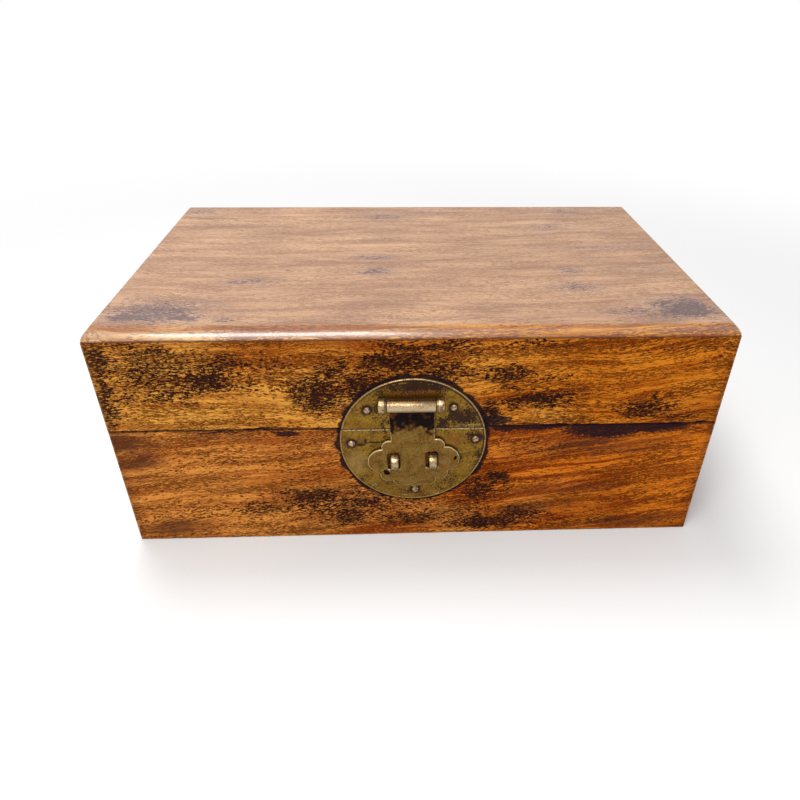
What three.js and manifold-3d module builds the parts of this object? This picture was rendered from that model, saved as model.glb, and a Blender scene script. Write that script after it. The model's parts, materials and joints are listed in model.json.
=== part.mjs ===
// Wooden box with a hinged lid, a round two-part lock plate in front and a hasp over two staples.
// Millimetres, +Z up. The front faces -Y, and the origin is the middle of the base's underside.

import * as THREE from 'three';
import { mergeVertices } from 'three/addons/utils/BufferGeometryUtils.js';
import Module from 'manifold-3d';

const wasm = await Module();
wasm.setup();

// The case
const BOX_WIDTH = 360;
const BOX_DEPTH = 237;
const BASE_HEIGHT = 84.8;
const LID_HEIGHT = 60.6;
const SEAM_GAP = 0.3;
const WALL = 10.5;
const GLUE_GAP = 0.1;
const TOP_THICKNESS = 3.6;
const TOP_FIELD_DROP = 4;
const TOP_FRONT_ROUND = { reach: 8, drop: 3.1 };
const TOP_BACK_ROUND = { reach: 3, drop: 3 };
const TOP_SIDE_ROUND = { reach: 3, drop: 3 };
const BOTTOM_THICKNESS = 6;
const BOTTOM_REBATE = 5;

// Clearances
const RUN_GAP = 0.3;
const HOLE_GAP = 0.3;
const SEAT_GAP = 0.1;

// How far a cutting solid runs past the face that it cuts
const CUT_PAST = 1;

// The lock plate, cut in two at the seam
const PLATE_OFFSET_X = -2.7;
const PLATE_THICKNESS = 1.2;
const PLATE_EDGE_BEVEL = 0.6;
const PLATE_RIM = 7.9;
const SEAM_TO_PLATE_CENTRE = 9.7;

// The hasp: a strap rolled round a pin, and a lobed plate with two slots, which hangs a little askew
const HASP_OFFSET_X = -3.9;
const HASP_SKEW = 2;
const BARREL_ABOVE_SEAM = 18.8;
const SHEET_THICKNESS = 1.4;
const HASP_LIFT = 0.8;
const HASP_PIN_RADIUS = 2.3;
const BARREL_LENGTH = 27.6;
const STRAP_WIDTH = 26.2;
const LOBE_RADIUS = 9.1;
const LOBE_SPREAD = 18.6;
const SHOULDER_RADIUS = 4.5;
const SHOULDER_SPREAD = 14.4;
const SHOULDER_RISE = 10.6;
const OUTER_SCALLOP_RADIUS = 5.2;
const OUTER_SCALLOP_SPREAD = 15.6;
const OUTER_SCALLOP_DROP = 9.7;
const INNER_SCALLOP_RADIUS = 4.4;
const INNER_SCALLOP_SPREAD = 8.9;
const INNER_SCALLOP_DROP = 14.4;
const TIP_RADIUS = 3;
const TIP_DROP = 17.4;

// The worn-through ovals near the hasp's edge, placed from the middle of an outer scallop and of a lobe
const SCALLOP_FLAW = { length: 4.6, width: 2.6, tilt: -55, beside: 1.2, above: 1.4 };
const LOBE_FLAW = { length: 3.2, width: 1.2, tilt: 75, beside: 6.6, above: 0.4 };

// The eyes at the two ends of the hasp's barrel
const EYE_WIDTH = 4.8;
const EYE_STANDOFF = 0.35;
const EYE_ROUNDING = 0.5;
const EYE_GROOVE = 0.35;
const EYE_GROOVE_WIDTH = 1;
const EYE_GROOVE_SLOPE = 0.3;
const PIN_END_ROUNDING = 0.4;
const TAIL_SHOULDER = 0.5;
const TAIL_THICKNESS = 2.4;
const CLINCH_LENGTH = 7;
const CLINCH_THICKNESS = 1.2;

// The staples that stand through the hasp's slots
const STAPLES_BELOW_PLATE_CENTRE = 12.2;
const STAPLE_SPREAD = 11.5;
const STAPLE_RADIUS = 5.2;
const STAPLE_THICKNESS = 1.2;
const STAPLE_WIDTH = 4.8;
const STAPLE_LIFT = 1;
const SLOT_PLAY_HIGH = 0.75;
const SLOT_PLAY_WIDE = 0.6;
const SLOT_SPARE_LEFT = 1.2;

// Dome-headed nails
const PLATE_NAIL = { head: 2.2, dome: 1.5, shank: 0.9, depth: 7, sides: 16 };
const LEAF_NAIL = { head: 2, dome: 1.2, shank: 0.75, depth: 6, sides: 12 };
const NAIL_BELOW_TIP = 0.9;

// The two hinges at the back, let in flush, with the back edges bevelled so that they stop the lid
const HINGE_SPREAD = 105;
const HINGE_INSET = 3.5;
const HINGE_LENGTH = 36;
const KNUCKLE_RADIUS = 3;
const HINGE_PIN_RADIUS = 1.3;
const MIDDLE_KNUCKLE = 14;
const KNUCKLE_CLEARANCE = 0.4;
const LEAF_HEIGHT = 20;
const LEAF_THICKNESS = 1.2;
const LEAF_NAIL_FROM_END = 7;
const LEAF_NAIL_INSET = 8;
const STOP_BEVEL = 50;

// Heights and depths that follow from them
const SEAM_LOW = BASE_HEIGHT;
const SEAM_HIGH = BASE_HEIGHT + SEAM_GAP;
const LID_TOP = SEAM_HIGH + LID_HEIGHT;
const BOARDS_TOP = LID_TOP - TOP_THICKNESS - GLUE_GAP;
const FRONT = -BOX_DEPTH / 2;
const FRONT_INSIDE = FRONT + WALL;
const BACK = BOX_DEPTH / 2;
const PLATE_BACK = FRONT - SEAT_GAP;
const PLATE_FRONT = PLATE_BACK - PLATE_THICKNESS;
const PLATE_CENTRE_Z = BASE_HEIGHT - SEAM_TO_PLATE_CENTRE;
const HASP_BACK = PLATE_FRONT - HASP_LIFT;
const HASP_FRONT = HASP_BACK - SHEET_THICKNESS;
const BARREL_BORE = HASP_PIN_RADIUS + RUN_GAP;
const BARREL_RADIUS = BARREL_BORE + SHEET_THICKNESS;
const BARREL_Y = HASP_BACK - BARREL_RADIUS;
const BARREL_Z = SEAM_HIGH + BARREL_ABOVE_SEAM;
const EYE_RADIUS = PLATE_FRONT - EYE_STANDOFF - BARREL_Y;
const STAPLE_Z = PLATE_CENTRE_Z - STAPLES_BELOW_PLATE_CENTRE;
const ARCH_Y = HASP_FRONT - STAPLE_LIFT;
const TIP_Z = STAPLE_Z - TIP_DROP - TIP_RADIUS;
const BOTTOM_NAIL_Z = TIP_Z - NAIL_BELOW_TIP - PLATE_NAIL.head;
const PLATE_RADIUS = PLATE_CENTRE_Z - BOTTOM_NAIL_Z + PLATE_RIM;
const HINGE_Y = BACK - HINGE_INSET;
const HINGE_Z = (SEAM_LOW + SEAM_HIGH) / 2;
const BEVEL = THREE.MathUtils.degToRad(STOP_BEVEL);
const BEVEL_RISE = HINGE_INSET * Math.tan(BEVEL);

// Nails of the lock plate, as an angle round its centre and a distance in from its rim
const PLATE_NAILS = [
  { name: 'plate_nail_upper_left', angle: 139, inset: 8.1 },
  { name: 'plate_nail_upper_right', angle: 46, inset: 9.9 },
  { name: 'plate_nail_lower_left', angle: 180, inset: 7 },
  { name: 'plate_nail_lower_right', angle: 3, inset: 6.4 },
  { name: 'plate_nail_bottom', angle: 271.8, inset: PLATE_RIM },
];

const FINISH = {
  lidWood: { color: 0xb87a2c, roughness: 0.45, metalness: 0 },
  baseWood: { color: 0xa85a22, roughness: 0.45, metalness: 0 },
  topWood: { color: 0xa98064, roughness: 0.35, metalness: 0 },
  bottomWood: { color: 0x8a5a30, roughness: 0.7, metalness: 0 },
  plateBrass: { color: 0x74642e, roughness: 0.4, metalness: 1 },
  brightBrass: { color: 0xb9a477, roughness: 0.3, metalness: 1 },
};

// Solids and meshes

// A closed solid from a three.js geometry
function solidFrom(geometry) {
  const bare = geometry.index ? geometry.toNonIndexed() : geometry.clone();
  bare.deleteAttribute('normal');
  bare.deleteAttribute('uv');
  const merged = mergeVertices(bare);
  const corners = merged.index.array;
  const kept = [];
  for (let i = 0; i < corners.length; i += 3) {
    const [a, b, c] = [corners[i], corners[i + 1], corners[i + 2]];
    if (a !== b && b !== c && c !== a) kept.push(a, b, c);
  }
  return new wasm.Manifold(new wasm.Mesh({
    numProp: 3,
    vertProperties: new Float32Array(merged.attributes.position.array),
    triVerts: new Uint32Array(kept),
  }));
}

function geometryFrom(solid) {
  const mesh = solid.getMesh();
  const geometry = new THREE.BufferGeometry();
  geometry.setAttribute('position', new THREE.BufferAttribute(new Float32Array(mesh.vertProperties), 3));
  geometry.setIndex(new THREE.BufferAttribute(new Uint32Array(mesh.triVerts), 1));
  const faceted = geometry.toNonIndexed();
  faceted.computeVertexNormals();
  return faceted;
}

function join(solids) {
  return solids.reduce((whole, next) => whole.add(next));
}

function cut(solid, tools) {
  return tools.reduce((rest, tool) => rest.subtract(tool), solid);
}

function block(xRange, yRange, zRange) {
  const [size, middle] = [new THREE.Vector3(), new THREE.Vector3()];
  new THREE.Box3(
    new THREE.Vector3(xRange[0], yRange[0], zRange[0]),
    new THREE.Vector3(xRange[1], yRange[1], zRange[1]),
  ).getSize(size);
  middle.set(xRange[0] + xRange[1], yRange[0] + yRange[1], zRange[0] + zRange[1]).multiplyScalar(0.5);
  return solidFrom(new THREE.BoxGeometry(size.x, size.y, size.z).translate(middle.x, middle.y, middle.z));
}

// An outline in (y, z), run along X
function runAlongX(shape, xRange) {
  const geometry = new THREE.ExtrudeGeometry(shape, {
    depth: xRange[1] - xRange[0], bevelEnabled: false, curveSegments: 8,
  });
  const turn = new THREE.Matrix4().set(0, 0, 1, xRange[0], 1, 0, 0, 0, 0, 1, 0, 0, 0, 0, 0, 1);
  return solidFrom(geometry.applyMatrix4(turn));
}

// An outline in (x, z), run along Y
function runAlongY(shape, yRange) {
  const geometry = new THREE.ExtrudeGeometry(shape, {
    depth: yRange[1] - yRange[0], bevelEnabled: false, curveSegments: 8,
  });
  const turn = new THREE.Matrix4().set(1, 0, 0, 0, 0, 0, -1, yRange[1], 0, 1, 0, 0, 0, 0, 0, 1);
  return solidFrom(geometry.applyMatrix4(turn));
}

function shapeOf(points) {
  return new THREE.Shape(points.map(([a, b]) => new THREE.Vector2(a, b)));
}

// A profile of (radius, distance) points, turned about a line along X
function turnedAboutX(profile, y, z, sides) {
  const geometry = new THREE.LatheGeometry(profile.map(([r, d]) => new THREE.Vector2(r, d)), sides);
  const turn = new THREE.Matrix4().set(0, 1, 0, 0, 0, 0, 1, y, 1, 0, 0, z, 0, 0, 0, 1);
  return solidFrom(geometry.applyMatrix4(turn));
}

// A profile of (radius, distance) points, turned about a line along Y; facing is -1 for the front
function turnedAboutY(profile, x, y, z, sides, facing) {
  const geometry = new THREE.LatheGeometry(profile.map(([r, d]) => new THREE.Vector2(r, d)), sides);
  const turn = new THREE.Matrix4().set(1, 0, 0, x, 0, facing, 0, y, 0, 0, facing, z, 0, 0, 0, 1);
  return solidFrom(geometry.applyMatrix4(turn));
}

function rodProfile(radius, range) {
  return [[0, range[0]], [radius, range[0]], [radius, range[1]], [0, range[1]]];
}

function rodAlongX(radius, xRange, y, z, sides) {
  return turnedAboutX(rodProfile(radius, xRange), y, z, sides);
}

function rodAlongY(radius, x, z, yRange, sides) {
  return turnedAboutY(rodProfile(radius, yRange), x, 0, z, sides, 1);
}

// Boards and panels

// A board of the case, mitred at both ends; turns counts quarter turns from the front
function mitredBoard(turns, zRange) {
  const run = turns % 2 === 0 ? BOX_WIDTH : BOX_DEPTH;
  const away = turns % 2 === 0 ? BOX_DEPTH / 2 : BOX_WIDTH / 2;
  const end = run / 2 - GLUE_GAP;
  const shape = shapeOf([[-end, 0], [end, 0], [end - WALL, WALL], [WALL - end, WALL]]);
  const geometry = new THREE.ExtrudeGeometry(shape, { depth: zRange[1] - zRange[0], bevelEnabled: false });
  geometry.translate(0, -away, zRange[0]).rotateZ(turns * Math.PI / 2);
  return solidFrom(geometry);
}

// The V along the back of the seam, whose two faces meet when the lid is fully open
function stopGroove() {
  const reach = HINGE_INSET + WALL;
  const rise = reach * Math.tan(BEVEL);
  const far = HINGE_Y + reach;
  const shape = shapeOf([[HINGE_Y, HINGE_Z], [far, HINGE_Z - rise], [far, HINGE_Z + rise]]);
  return runAlongX(shape, [-BOX_WIDTH, BOX_WIDTH]);
}

function bottomRebate() {
  const x = BOX_WIDTH / 2 - WALL + BOTTOM_REBATE;
  const y = BOX_DEPTH / 2 - WALL + BOTTOM_REBATE;
  return block([-x, x], [-y, y], [-CUT_PAST, BOTTOM_THICKNESS + GLUE_GAP]);
}

function bottomPanel() {
  const x = BOX_WIDTH / 2 - WALL + BOTTOM_REBATE - GLUE_GAP;
  const y = BOX_DEPTH / 2 - WALL + BOTTOM_REBATE - GLUE_GAP;
  return block([-x, x], [-y, y], [0, BOTTOM_THICKNESS]);
}

// The section of a panel whose two upper corners are rounded
function roundedSection(low, high, bottom, top, lowRound, highRound) {
  const shape = new THREE.Shape();
  shape.moveTo(low, bottom);
  shape.lineTo(high, bottom);
  const corners = [[high, -1, highRound, 0], [low, 1, lowRound, Math.PI / 2]];
  for (const [edge, inward, { reach, drop }, start] of corners) {
    shape.absellipse(edge + inward * reach, top - drop, reach, drop, start, start + Math.PI / 2, false);
  }
  return shape;
}

// The top overlies the boards, and its raised field drops between them
function topPanel() {
  const side = BOX_WIDTH / 2;
  const under = LID_TOP - TOP_THICKNESS;
  const frontToBack = roundedSection(FRONT, BACK, under, LID_TOP, TOP_FRONT_ROUND, TOP_BACK_ROUND);
  const sideToSide = roundedSection(-side, side, under, LID_TOP, TOP_SIDE_ROUND, TOP_SIDE_ROUND);
  const alongX = runAlongX(frontToBack, [-side, side]);
  const alongY = runAlongY(sideToSide, [FRONT - CUT_PAST, BACK + CUT_PAST]);
  const x = side - WALL - GLUE_GAP;
  const y = BOX_DEPTH / 2 - WALL - GLUE_GAP;
  const field = block([-x, x], [-y, y], [under - TOP_FIELD_DROP, under + TOP_THICKNESS / 2]);
  return alongX.intersect(alongY).add(field);
}

// Nails

// From the point of the shank to the top of the dome, with the underside of the head at distance 0
function nailProfile(nail) {
  const profile = [
    [0, -nail.depth], [nail.shank, -nail.depth + 2 * nail.shank],
    [nail.shank, 0], [nail.head, 0],
  ];
  const steps = 4;
  const sphere = (nail.head ** 2 + nail.dome ** 2) / (2 * nail.dome);
  const spread = Math.asin(nail.head / sphere);
  for (let i = 1; i <= steps; i += 1) {
    const angle = spread * (1 - i / steps);
    profile.push([i === steps ? 0 : sphere * Math.sin(angle), nail.dome - sphere * (1 - Math.cos(angle))]);
  }
  return profile;
}

// A nail whose head sits on a face at faceY, and the hole that it needs
function nailAt(nail, x, z, faceY, facing) {
  return turnedAboutY(nailProfile(nail), x, faceY + facing * SEAT_GAP, z, nail.sides, facing);
}

function nailHole(nail, x, z, faceY, facing) {
  const ends = [faceY + facing * CUT_PAST, faceY - facing * (nail.depth + HOLE_GAP)].sort((a, b) => a - b);
  return rodAlongY(nail.shank + HOLE_GAP, x, z, ends, nail.sides);
}

function plateNailPlace({ angle, inset }) {
  const turn = THREE.MathUtils.degToRad(angle);
  const reach = PLATE_RADIUS - inset;
  return [PLATE_OFFSET_X + reach * Math.cos(turn), PLATE_CENTRE_Z + reach * Math.sin(turn)];
}

const plateNailHoles = PLATE_NAILS.map(
  (place) => nailHole(PLATE_NAIL, ...plateNailPlace(place), PLATE_FRONT, -1));

// The lock plate

function plateDisc() {
  const flat = PLATE_THICKNESS - PLATE_EDGE_BEVEL;
  const profile = [
    [0, 0], [PLATE_RADIUS, 0], [PLATE_RADIUS, flat],
    [PLATE_RADIUS - PLATE_EDGE_BEVEL, PLATE_THICKNESS], [0, PLATE_THICKNESS],
  ];
  return turnedAboutY(profile, PLATE_OFFSET_X, PLATE_BACK, PLATE_CENTRE_Z, 96, -1);
}

function platePart(zRange, holes) {
  const reach = PLATE_RADIUS + CUT_PAST;
  const x = [PLATE_OFFSET_X - reach, PLATE_OFFSET_X + reach];
  const y = [PLATE_FRONT - CUT_PAST, PLATE_BACK + CUT_PAST];
  return cut(plateDisc().intersect(block(x, y, zRange)), holes);
}

// A place on the hasp, beside its middle line and above the middle of its slots, turned as it hangs
const SKEW = THREE.MathUtils.degToRad(HASP_SKEW);

function askew(beside, above) {
  const drop = BARREL_Z - STAPLE_Z - above;
  return [
    HASP_OFFSET_X + beside * Math.cos(SKEW) + drop * Math.sin(SKEW),
    BARREL_Z + beside * Math.sin(SKEW) - drop * Math.cos(SKEW),
  ];
}

// The hasp's eyes and their pin

// A piece that goes through plate and board and is turned over inside, with room round it in its hole
function throughBlock(xMiddle, width, zRange, gap) {
  const x = [xMiddle - width / 2 - gap, xMiddle + width / 2 + gap];
  const y = [PLATE_FRONT - CUT_PAST, FRONT_INSIDE + CUT_PAST];
  return block(x, y, [zRange[0] - gap, zRange[1] + gap]);
}

function clinch(xMiddle, width, zRange) {
  const y = FRONT_INSIDE + SEAT_GAP;
  return block([xMiddle - width / 2, xMiddle + width / 2], [y, y + CLINCH_THICKNESS], zRange);
}

const EYE_SPREAD = BARREL_LENGTH / 2 + RUN_GAP + EYE_WIDTH / 2;
const TAIL_WIDTH = EYE_WIDTH - 2 * TAIL_SHOULDER;
const TAIL_Z = [BARREL_Z - TAIL_THICKNESS / 2, BARREL_Z + TAIL_THICKNESS / 2];

// A ring with a shallow groove near its inner end, on a tail turned over both ways inside the lid
function knuckleEye(side) {
  const x = HASP_OFFSET_X + side * EYE_SPREAD;
  const half = EYE_WIDTH / 2;
  const groove = EYE_RADIUS - EYE_GROOVE;
  const grooveEnd = EYE_GROOVE_WIDTH - half;
  const inward = [
    [0, -half], [groove, -half], [groove, grooveEnd], [EYE_RADIUS, grooveEnd + EYE_GROOVE_SLOPE],
    [EYE_RADIUS, half - EYE_ROUNDING], [EYE_RADIUS - EYE_ROUNDING, half], [0, half],
  ];
  const profile = side > 0 ? inward : inward.map(([r, d]) => [r, -d]).reverse();
  const ring = turnedAboutX(profile.map(([r, d]) => [r, x + d]), BARREL_Y, BARREL_Z, 32);
  const tailY = [BARREL_Y, FRONT_INSIDE + SEAT_GAP + CLINCH_THICKNESS];
  const tail = block([x - TAIL_WIDTH / 2, x + TAIL_WIDTH / 2], tailY, TAIL_Z);
  const turned = clinch(x, TAIL_WIDTH, [BARREL_Z - CLINCH_LENGTH, BARREL_Z + CLINCH_LENGTH]);
  const bore = rodAlongX(BARREL_BORE, [x - EYE_WIDTH, x + EYE_WIDTH], BARREL_Y, BARREL_Z, 24);
  return cut(join([ring, tail, turned]), [bore]);
}

function tailHole(side) {
  return throughBlock(HASP_OFFSET_X + side * EYE_SPREAD, TAIL_WIDTH, TAIL_Z, HOLE_GAP);
}

function haspPin() {
  const reach = EYE_SPREAD + EYE_WIDTH / 2;
  const end = reach + PIN_END_ROUNDING;
  const tip = HASP_PIN_RADIUS - PIN_END_ROUNDING;
  const profile = [
    [0, -end], [tip, -end], [HASP_PIN_RADIUS, -reach],
    [HASP_PIN_RADIUS, reach], [tip, end], [0, end],
  ];
  return turnedAboutX(profile.map(([r, d]) => [r, HASP_OFFSET_X + d]), BARREL_Y, BARREL_Z, 24);
}

// The hasp

function disc(beside, above, radius, sides) {
  const [x, z] = askew(beside, above);
  return rodAlongY(radius, x, z, [HASP_FRONT, HASP_BACK], sides);
}

// An upright block of the hasp, given by how far it reaches beside and above the middle of the slots
function hungBlock(beside, above, yRange) {
  const corners = [[0, 0], [1, 0], [1, 1], [0, 1]].map(([i, j]) => askew(beside[i], above[j]));
  return runAlongY(shapeOf(corners), yRange);
}

// The lobed outline, as overlapping rounds over three slabs that fill its middle
function haspPlate() {
  const rounds = [disc(0, -TIP_DROP, TIP_RADIUS, 24)];
  for (const side of [-1, 1]) {
    rounds.push(disc(side * LOBE_SPREAD, 0, LOBE_RADIUS, 48));
    rounds.push(disc(side * SHOULDER_SPREAD, SHOULDER_RISE, SHOULDER_RADIUS, 32));
    rounds.push(disc(side * OUTER_SCALLOP_SPREAD, -OUTER_SCALLOP_DROP, OUTER_SCALLOP_RADIUS, 32));
    rounds.push(disc(side * INNER_SCALLOP_SPREAD, -INNER_SCALLOP_DROP, INNER_SCALLOP_RADIUS, 32));
  }
  const slabs = [
    [STRAP_WIDTH / 2, [0, BARREL_Z - STAPLE_Z]],
    [LOBE_SPREAD, [-OUTER_SCALLOP_DROP, SHOULDER_RISE]],
    [INNER_SCALLOP_SPREAD, [-INNER_SCALLOP_DROP - INNER_SCALLOP_RADIUS, 0]],
  ].map(([half, above]) => hungBlock([-half, half], above, [HASP_FRONT, HASP_BACK]));
  return join([...slabs, ...rounds]);
}

const HASP_CUT_Y = [HASP_FRONT - CUT_PAST, HASP_BACK + CUT_PAST];

function haspSlot(side) {
  const half = STAPLE_WIDTH / 2 + SLOT_PLAY_WIDE;
  const middle = side * STAPLE_SPREAD;
  const high = STAPLE_RADIUS + SLOT_PLAY_HIGH;
  return hungBlock([middle - half - SLOT_SPARE_LEFT, middle + half], [-high, high], HASP_CUT_Y);
}

function flaw({ length, width, tilt }, [x, z]) {
  const shape = new THREE.Shape();
  shape.absellipse(x, z, length / 2, width / 2, 0, 2 * Math.PI, false, THREE.MathUtils.degToRad(tilt));
  return runAlongY(shape, HASP_CUT_Y);
}

function haspFlaws() {
  const leftScallop = askew(
    -OUTER_SCALLOP_SPREAD - SCALLOP_FLAW.beside, SCALLOP_FLAW.above - OUTER_SCALLOP_DROP);
  const rightLobe = askew(LOBE_SPREAD + LOBE_FLAW.beside, LOBE_FLAW.above);
  return [flaw(SCALLOP_FLAW, leftScallop), flaw(LOBE_FLAW, rightLobe)];
}

function hasp() {
  const x = [HASP_OFFSET_X - BARREL_LENGTH / 2, HASP_OFFSET_X + BARREL_LENGTH / 2];
  const barrel = rodAlongX(BARREL_RADIUS, x, BARREL_Y, BARREL_Z, 32);
  const bore = rodAlongX(BARREL_BORE, [x[0] - CUT_PAST, x[1] + CUT_PAST], BARREL_Y, BARREL_Z, 24);
  return cut(join([haspPlate(), barrel]), [bore, haspSlot(-1), haspSlot(1), ...haspFlaws()]);
}

// The staples

const STAPLE_LEGS = [-1, 1].map((side) => {
  const ends = [side * (STAPLE_RADIUS - STAPLE_THICKNESS), side * STAPLE_RADIUS];
  return ends.sort((a, b) => a - b).map((dz) => STAPLE_Z + dz);
});

function stapleArch() {
  const shape = new THREE.Shape();
  shape.absarc(ARCH_Y, STAPLE_Z, STAPLE_RADIUS, Math.PI / 2, 1.5 * Math.PI, false);
  shape.absarc(ARCH_Y, STAPLE_Z, STAPLE_RADIUS - STAPLE_THICKNESS, 1.5 * Math.PI, Math.PI / 2, true);
  return shape;
}

const stapleX = (side) => askew(side * STAPLE_SPREAD, 0)[0];

// A bent strip whose legs go through the plate and the base's front board and are turned over inside
function staple(side) {
  const xMiddle = stapleX(side);
  const x = [xMiddle - STAPLE_WIDTH / 2, xMiddle + STAPLE_WIDTH / 2];
  const arch = runAlongX(stapleArch(), x);
  const legY = [ARCH_Y, FRONT_INSIDE + SEAT_GAP + CLINCH_THICKNESS];
  const legs = STAPLE_LEGS.map((z) => block(x, legY, z));
  const [lower, upper] = STAPLE_LEGS;
  const feet = [
    clinch(xMiddle, STAPLE_WIDTH, [lower[1] - CLINCH_LENGTH, lower[1]]),
    clinch(xMiddle, STAPLE_WIDTH, [upper[0], upper[0] + CLINCH_LENGTH]),
  ];
  return join([arch, ...legs, ...feet]);
}

const stapleHoles = [-1, 1].flatMap((side) => STAPLE_LEGS.map(
  (z) => throughBlock(stapleX(side), STAPLE_WIDTH, z, HOLE_GAP)));

// The hinges at the back

// The section of a leaf, or of its recess: down the back face, in along the bevel and up to the pin.
// It reaches from deep inside the wood to proud of it, and up is -1 for the lower leaf.
function leafSection(up, deep, proud, height) {
  const edge = HINGE_Z + up * (BEVEL_RISE + height);
  const onBevel = (along, depth) => [
    HINGE_Y + along * Math.cos(BEVEL) - depth * Math.sin(BEVEL),
    HINGE_Z + up * (along * Math.sin(BEVEL) + depth * Math.cos(BEVEL)),
  ];
  const bend = (depth) => onBevel((HINGE_INSET - depth + depth * Math.sin(BEVEL)) / Math.cos(BEVEL), depth);
  return shapeOf([
    onBevel(0, -proud), bend(-proud), [BACK + proud, edge],
    [BACK - deep, edge], bend(deep), onBevel(0, deep),
  ]);
}

function knuckle(xRange, radius) {
  return rodAlongX(radius, xRange, HINGE_Y, HINGE_Z, 24);
}

// The stretches of a hinge along X that belong to the lower leaf's knuckles and to the upper leaf's
function knuckleRanges(x) {
  const [end, middle] = [HINGE_LENGTH / 2, MIDDLE_KNUCKLE / 2];
  return {
    lower: [[x - end, x - middle - RUN_GAP], [x + middle + RUN_GAP, x + end]],
    upper: [[x - middle, x + middle]],
  };
}

function leafNailPlaces(x, up) {
  const z = HINGE_Z + up * (BEVEL_RISE + LEAF_NAIL_INSET);
  const spread = HINGE_LENGTH / 2 - LEAF_NAIL_FROM_END;
  return [[x - spread, z], [x + spread, z]];
}

function hingeLeaf(x, up) {
  const ranges = knuckleRanges(x);
  const [own, other] = up < 0 ? [ranges.lower, ranges.upper] : [ranges.upper, ranges.lower];
  const long = [x - HINGE_LENGTH / 2, x + HINGE_LENGTH / 2];
  const sheet = runAlongX(leafSection(up, LEAF_THICKNESS, 0, LEAF_HEIGHT), long);
  const room = other.map(([low, high]) => knuckle(
    [low - RUN_GAP, high + RUN_GAP], KNUCKLE_RADIUS + KNUCKLE_CLEARANCE));
  const rings = own.map((range) => knuckle(range, KNUCKLE_RADIUS));
  const bore = knuckle([x - HINGE_LENGTH, x + HINGE_LENGTH], HINGE_PIN_RADIUS + RUN_GAP);
  const holes = leafNailPlaces(x, up).map(([nx, nz]) => nailHole(LEAF_NAIL, nx, nz, BACK, 1));
  return cut(join([cut(sheet, room), ...rings]), [bore, ...holes]);
}

// What a hinge takes out of the back board on its side of the seam
function hingePocket(x, up) {
  const long = [x - HINGE_LENGTH / 2 - HOLE_GAP, x + HINGE_LENGTH / 2 + HOLE_GAP];
  const recess = runAlongX(
    leafSection(up, LEAF_THICKNESS + HOLE_GAP, CUT_PAST, LEAF_HEIGHT + HOLE_GAP), long);
  const holes = leafNailPlaces(x, up).map(([nx, nz]) => nailHole(LEAF_NAIL, nx, nz, BACK, 1));
  return [recess, knuckle(long, KNUCKLE_RADIUS + KNUCKLE_CLEARANCE), ...holes];
}

const HINGES = [{ name: 'left', x: -HINGE_SPREAD }, { name: 'right', x: HINGE_SPREAD }];

// The assembly

const box = new THREE.Group();

function addPiece(name, solid, finish) {
  const mesh = new THREE.Mesh(geometryFrom(solid), new THREE.MeshStandardMaterial(finish));
  mesh.name = name;
  box.add(mesh);
}

const SIDES = ['front', 'right', 'back', 'left'];
const heel = stopGroove();
const rebate = bottomRebate();
const tailHoles = [-1, 1].map(tailHole);

SIDES.forEach((side, turns) => {
  const lower = cut(mitredBoard(turns, [0, SEAM_LOW]), [rebate, heel]);
  const upper = cut(mitredBoard(turns, [SEAM_HIGH, BOARDS_TOP]), [heel]);
  const lowerCuts = {
    front: [...stapleHoles, ...plateNailHoles],
    back: HINGES.flatMap(({ x }) => hingePocket(x, -1)),
  };
  const upperCuts = {
    front: [...tailHoles, ...plateNailHoles],
    back: HINGES.flatMap(({ x }) => hingePocket(x, 1)),
  };
  addPiece(`base_${side}_board`, cut(lower, lowerCuts[side] ?? []), FINISH.baseWood);
  addPiece(`lid_${side}_board`, cut(upper, upperCuts[side] ?? []), FINISH.lidWood);
});
addPiece('base_bottom_panel', bottomPanel(), FINISH.bottomWood);
addPiece('lid_top_panel', topPanel(), FINISH.topWood);

const plateTop = PLATE_CENTRE_Z + PLATE_RADIUS + CUT_PAST;
const plateFoot = PLATE_CENTRE_Z - PLATE_RADIUS - CUT_PAST;
const upperPlate = platePart([SEAM_HIGH, plateTop], [...tailHoles, ...plateNailHoles]);
const lowerPlate = platePart([plateFoot, SEAM_LOW], [...stapleHoles, ...plateNailHoles]);
addPiece('lock_plate_upper', upperPlate, FINISH.plateBrass);
addPiece('lock_plate_lower', lowerPlate, FINISH.plateBrass);
addPiece('hasp', hasp(), FINISH.plateBrass);
addPiece('hasp_pin', haspPin(), FINISH.brightBrass);
for (const [side, name] of [[-1, 'left'], [1, 'right']]) {
  addPiece(`knuckle_eye_${name}`, knuckleEye(side), FINISH.brightBrass);
  addPiece(`staple_${name}`, staple(side), FINISH.brightBrass);
}
for (const place of PLATE_NAILS) {
  addPiece(place.name, nailAt(PLATE_NAIL, ...plateNailPlace(place), PLATE_FRONT, -1), FINISH.brightBrass);
}

for (const { name, x } of HINGES) {
  addPiece(`hinge_${name}_lower_leaf`, hingeLeaf(x, -1), FINISH.plateBrass);
  addPiece(`hinge_${name}_upper_leaf`, hingeLeaf(x, 1), FINISH.plateBrass);
  addPiece(`hinge_${name}_pin`, knuckle([x - HINGE_LENGTH / 2, x + HINGE_LENGTH / 2], HINGE_PIN_RADIUS),
    FINISH.brightBrass);
  for (const [up, level] of [[-1, 'lower'], [1, 'upper']]) {
    leafNailPlaces(x, up).forEach(([nx, nz], i) => {
      const nail = nailAt(LEAF_NAIL, nx, nz, BACK, 1);
      addPiece(`hinge_${name}_${level}_nail_${i + 1}`, nail, FINISH.brightBrass);
    });
  }
}

export default box;
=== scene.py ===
"""An old wooden box with a round two-part brass lock plate and a hasp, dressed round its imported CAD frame.

Blender works in metres. Sizes here are in millimetres unless a name says otherwise, and MM turns
them into metres where a mesh or a material needs it.
"""

import json
import math

import bmesh
import bpy
import numpy as np
from mathutils import Matrix, Vector


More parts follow.
